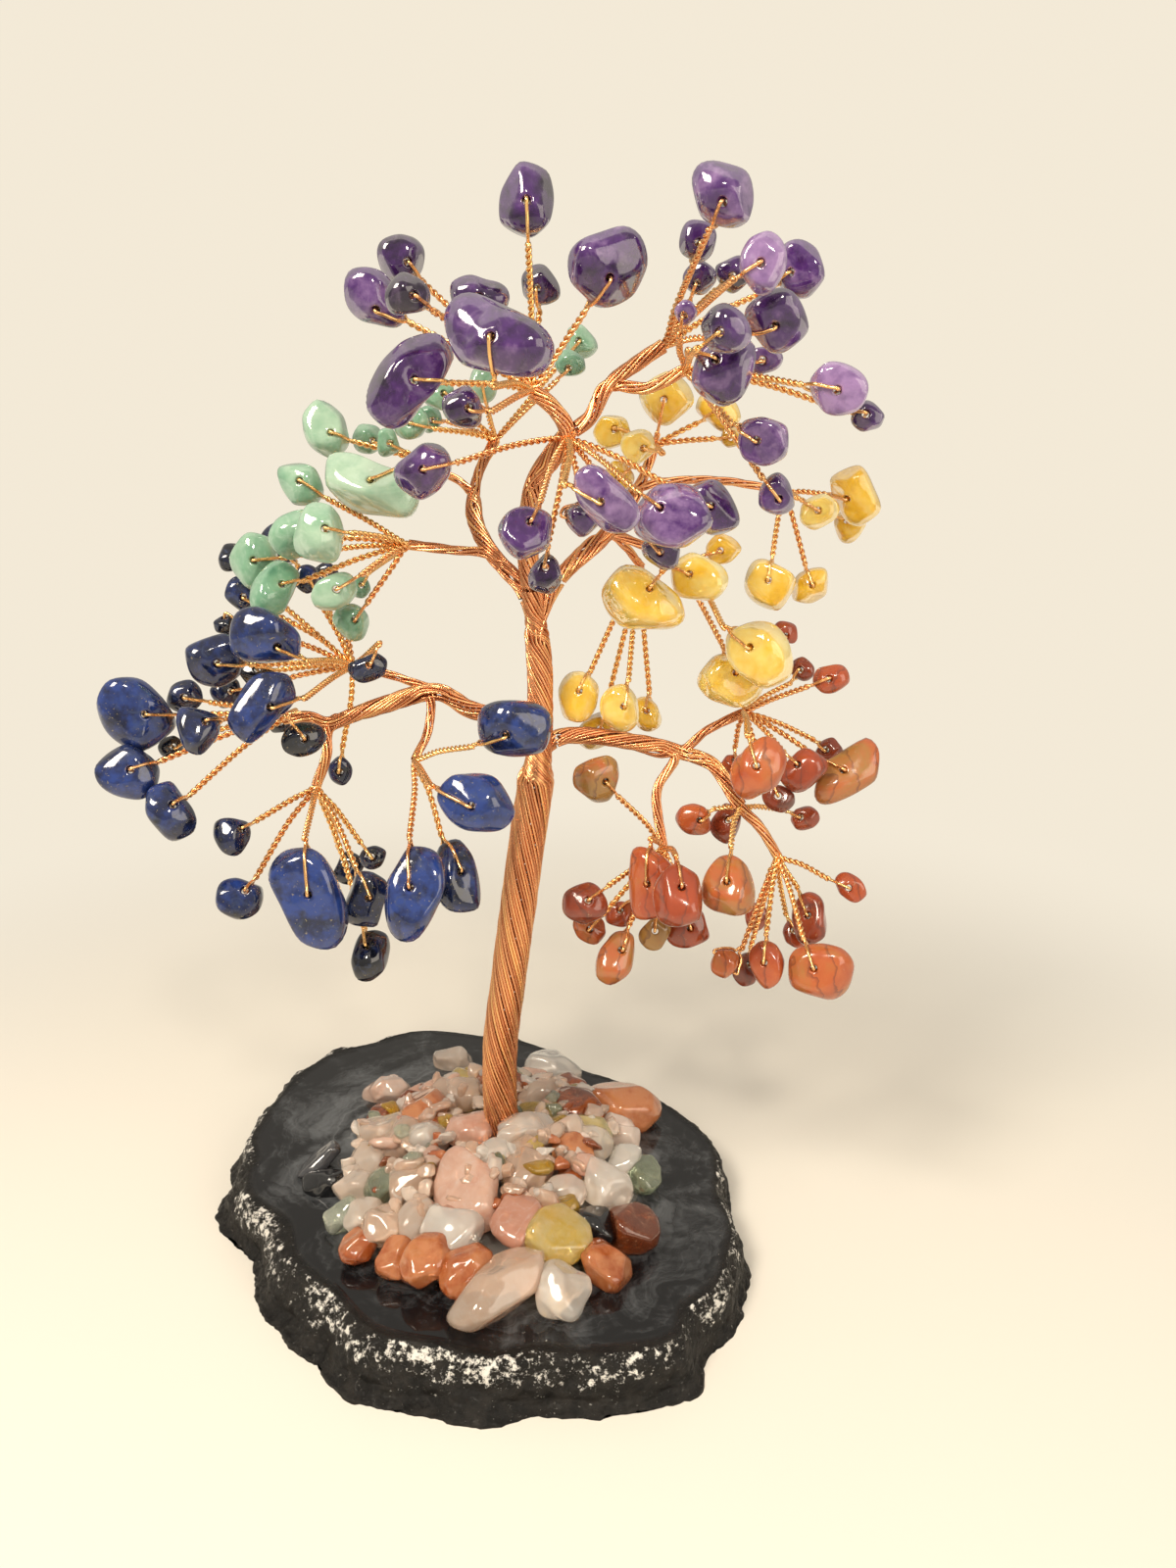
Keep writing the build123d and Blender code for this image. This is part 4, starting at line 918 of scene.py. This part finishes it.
def buildSlice():
    points = nodePieces("agate_slice")[0][0]
    heights = sorted(set(np.round(points[:, 2], 5).tolist()))
    low, belt, top = heights[0], heights[len(heights) // 2], heights[-1]
    lipHeight = low + (top - low) * agate["belt"]
    middle = (points[:, :2].min(0) + points[:, :2].max(0)) / 2
    angles = np.linspace(-math.pi, math.pi, agate["segments"], endpoint=False)
    rings = [outlineAt(points, height, middle, angles) for height in (low, belt, top)]
    # Each row has its distance for each angle, its height, and the values rim, inset and climb
    rows = [(rings[0] * share, low, 1.0, 0.0, 0.0) for share in agate["floorRows"]]
    under = agate["under"]
    for share in np.arange(agate["rimRows"] + 1) / agate["rimRows"]:
        if share < under:
            part = share / under
            far = rings[0] + (rings[1] - rings[0]) * math.sin(part * math.pi / 2)
            height = low + (lipHeight - low) * part
        else:
            part = (share - under) / (1 - under)
            far = rings[1] + (rings[2] - rings[1]) * part ** 1.15
            height = lipHeight + (top - lipHeight) * math.sin(part * math.pi / 2)
        rows.append((far, height, 1.0, 0.0, share))
    for share in np.arange(1, agate["faceRows"] + 1) / agate["faceRows"]:
        rows.append((rings[2] * (1 - share * 0.99), top, 0.0, share, 1.0))
    grid = np.stack([np.stack([middle[0] + far * np.cos(angles), middle[1] + far * np.sin(angles),
                               np.full(len(angles), height)], axis=1) for far, height, *others in rows])
    rim, inset, climb = (np.array([row[place] for row in rows])[:, None] for place in (2, 3, 4))
    roughen(grid, rim, climb, low, top)
    shape = Shape()
    shape.addGrid(grid, around=True, rim=rim, inset=inset, climb=climb)
    shape.build("agate_rock", materials["agate"], "base", "agate_slice")


# Lumps with creases between them, and grit, which both die away at the polished face's edge
def roughen(grid, rim, climb, low, top):
    middle = grid[-1].mean(0)
    for row in range(len(agate["floorRows"]), len(grid)):
        if rim[row, 0] < 0.5:
            continue
        for column in range(grid.shape[1]):
            place = Vector(grid[row, column])
            large = abs(noise.noise(place * 75)) + 0.4 * abs(noise.noise(place * 210 + Vector((5, 2, 1))))
            small = noise.noise(place * 900 + Vector((3, 1, 7)))
            tiny = noise.noise(place * 2300 + Vector((9, 2, 5)))
            out = Vector(grid[row, column] - middle)
            out.z = 0
            out.normalize()
            push = agate["lump"] * (large - 0.3) + agate["grit"] * (small + tiny * 0.7)
            push *= min((1 - climb[row, 0]) / 0.22, 1)
            height = grid[row, column, 2]
            grid[row, column] += np.array(out) * push
            if low + 1e-5 < height < top - 1e-5:
                grid[row, column, 2] = min(max(height + 0.6 * push, low), top)


def buildResin():
    low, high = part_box("resin_bed")
    reach, height = (high.x - low.x) / 2 * resin["reach"], (high.z - low.z) * resin["height"]
    lines = []
    for share in np.linspace(1, 0.01, resin["rows"]):
        line = []
        for angle in np.linspace(0, 2 * math.pi, resin["columns"], endpoint=False):
            wave = 1 + resin["wave"] * noise.noise(Vector((math.cos(angle) * 2, math.sin(angle) * 2, 4)))
            x = math.cos(angle) * share * reach * wave
            y = math.sin(angle) * share * reach * wave + (low.y + high.y) / 2
            lump = noise.noise(Vector((x * 300, y * 300, 1))) * resin["lump"]
            rise = height * (1 - share ** 2.2) + lump * (1 - share ** 6)
            line.append((x, y, low.z + max(rise, 0.00002)))
        lines.append(line)
    shape = Shape()
    shape.addGrid(np.array(lines), around=True)
    shape.build("resin_pool", materials["resin"], "base", "resin_bed")


roots = {
    "count": 26, "step": 0.0003, "start": 0.0028, "stray": 0.0012, "shortest": 0.0068, "longest": 0.0078,
}


# The wires' ends under the heap, which spread over the slice
def buildRoots():
    shape = Shape()
    chance = np.random.default_rng(11)
    low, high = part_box("trunk_roots")
    foot = np.array([(low.x + high.x) / 2, (low.y + high.y) / 2, low.z])
    rise = np.array([0, 0, 1.0])
    for number in range(roots["count"]):
        angle = 2 * math.pi * (number + chance.uniform(-0.3, 0.3)) / roots["count"]
        out = np.array([math.cos(angle), math.sin(angle), 0])
        side = np.array([-out[1], out[0], 0]) * chance.uniform(-roots["stray"], roots["stray"])
        length = chance.uniform(roots["shortest"], roots["longest"])
        places = [foot + (out + upward) * roots["start"], foot + out * 0.0042 + rise * 0.0009,
                  foot + out * 0.006 + side + rise * 0.0004, foot + out * length + side * 2 + rise * 0.0002]
        shape.addTube(smoothCurve(places, roots["step"]), wire["radius"], wire["sides"], chance.uniform(0, 1))
    shape.build("root_wires", materials["copper"], "base", "trunk_roots")


lights = {
    "world": 0.55, "worldColour": (1.0, 0.93, 0.82), "backdrop": (0.9, 0.82, 0.68), "inMetal": 0.25,
    "floor": (0.82, 0.78, 0.7), "floorNear": 0.075, "floorFar": 0.24,
    "lampColour": (1.0, 0.9, 0.76), "target": (0.0, 0.0, 0.085),
}
lamps = {  # each has its place, size and power
    "key": ((-0.22, -0.26, 0.42), 0.16, 2.2),
    "fill": ((0.34, -0.3, 0.22), 0.3, 0.8),
    "spark": ((0.06, -0.34, 0.36), 0.045, 0.6),
}


# The floor takes the backdrop's colour with distance, so that no line parts the two
def buildStage():
    paint = Painter("floor")
    surface = paint.finish({"Base Color": lights["floor"], "Roughness": 0.6}, {})
    distance = paint.node("VectorMath", {"operation": "LENGTH"}, {0: paint.place}, "Value")
    glow = paint.node("Emission", {}, {0: lights["backdrop"], 1: 1.0})
    plain = Value(paint.tree, paint.shader.outputs[0])
    mixed = paint.node("MixShader", {}, {
        0: paint.between(distance, lights["floorNear"], lights["floorFar"]), 1: plain, 2: glow})
    paint.tree.links.new(mixed.socket, paint.tree.nodes["Material Output"].inputs[0])
    mesh = bpy.data.meshes.new("floor")
    mesh.from_pydata([(-3, -1, 0), (3, -1, 0), (3, 4, 0), (-3, 4, 0)], [], [(0, 1, 2, 3)])
    mesh.materials.append(surface)
    addThing("floor", mesh)


def buildLights():
    world = bpy.data.worlds.new("studio")
    bpy.context.scene.world = world
    world.use_nodes = True
    tree = world.node_tree
    tree.nodes.clear()
    rays = tree.nodes.new("ShaderNodeLightPath").outputs
    seen, glossy, through = (Value(tree, rays[f"Is {kind} Ray"])
                             for kind in ("Camera", "Glossy", "Transmission"))
    shown = seen.math("MAXIMUM", seen, through) + glossy * lights["inMetal"]
    direction = makeNode(tree, "TexCoord", {}, {}, "Generated")
    height = makeNode(tree, "SeparateXYZ", {}, {0: direction}, 2)
    sky = makeNode(tree, "MapRange", {}, {0: height, 1: -0.2, 2: 0.9, 3: 0.35, 4: 1.0})
    plain = makeNode(tree, "Background", {}, {0: lights["worldColour"], 1: sky * lights["world"]})
    back = makeNode(tree, "Background", {}, {0: lights["backdrop"], 1: 1.0})
    mixed = makeNode(tree, "MixShader", {}, {0: shown, 1: plain, 2: back})
    tree.links.new(mixed.socket, tree.nodes.new("ShaderNodeOutputWorld").inputs[0])
    for name, (place, size, power) in lamps.items():
        lamp = bpy.data.lights.new(name, "AREA")
        lamp.size, lamp.energy, lamp.color = size, power, lights["lampColour"]
        thing = addThing(name, lamp)
        thing.location = place
        aim = Vector(lights["target"]) - thing.location
        thing.rotation_euler = aim.to_track_quat("-Z", "Y").to_euler()


def buildCamera():
    lens = bpy.data.cameras.new("photoCamera")
    lens.sensor_fit = "VERTICAL"
    lens.sensor_height, lens.lens, lens.clip_start = camera["sensor"], camera["lens"], camera["nearest"]
    thing = addThing("photoCamera", lens)
    thing.location = camera["place"]
    thing.rotation_euler = (math.radians(90 - camera["tilt"]), 0, 0)
    bpy.context.scene.camera = thing


materials = {name: stoneMaterial(name) for name in stoneLooks}
materials.update(copper=copperMaterial(), jasper=jasperMaterial(),
                 agate=agateMaterial(), resin=resinMaterial())
print("materials made")

bundles, paths = bundleWires()
buildBundles(bundles, paths)
print("bundles wound")

for sprayName, spray in sprays.items():
    hangStones(sprayName, *spray, paths[sprayName][1])
print("stones hung:", next(stoneNumbers) - 1)

layHeap()
print("heap laid")

buildSlice()
print("slice cut")

buildResin()
buildRoots()
print("glue poured, roots spread")

buildStage()
buildLights()
buildCamera()
bpy.context.scene.view_settings.view_transform = "Standard"
print("stage set")
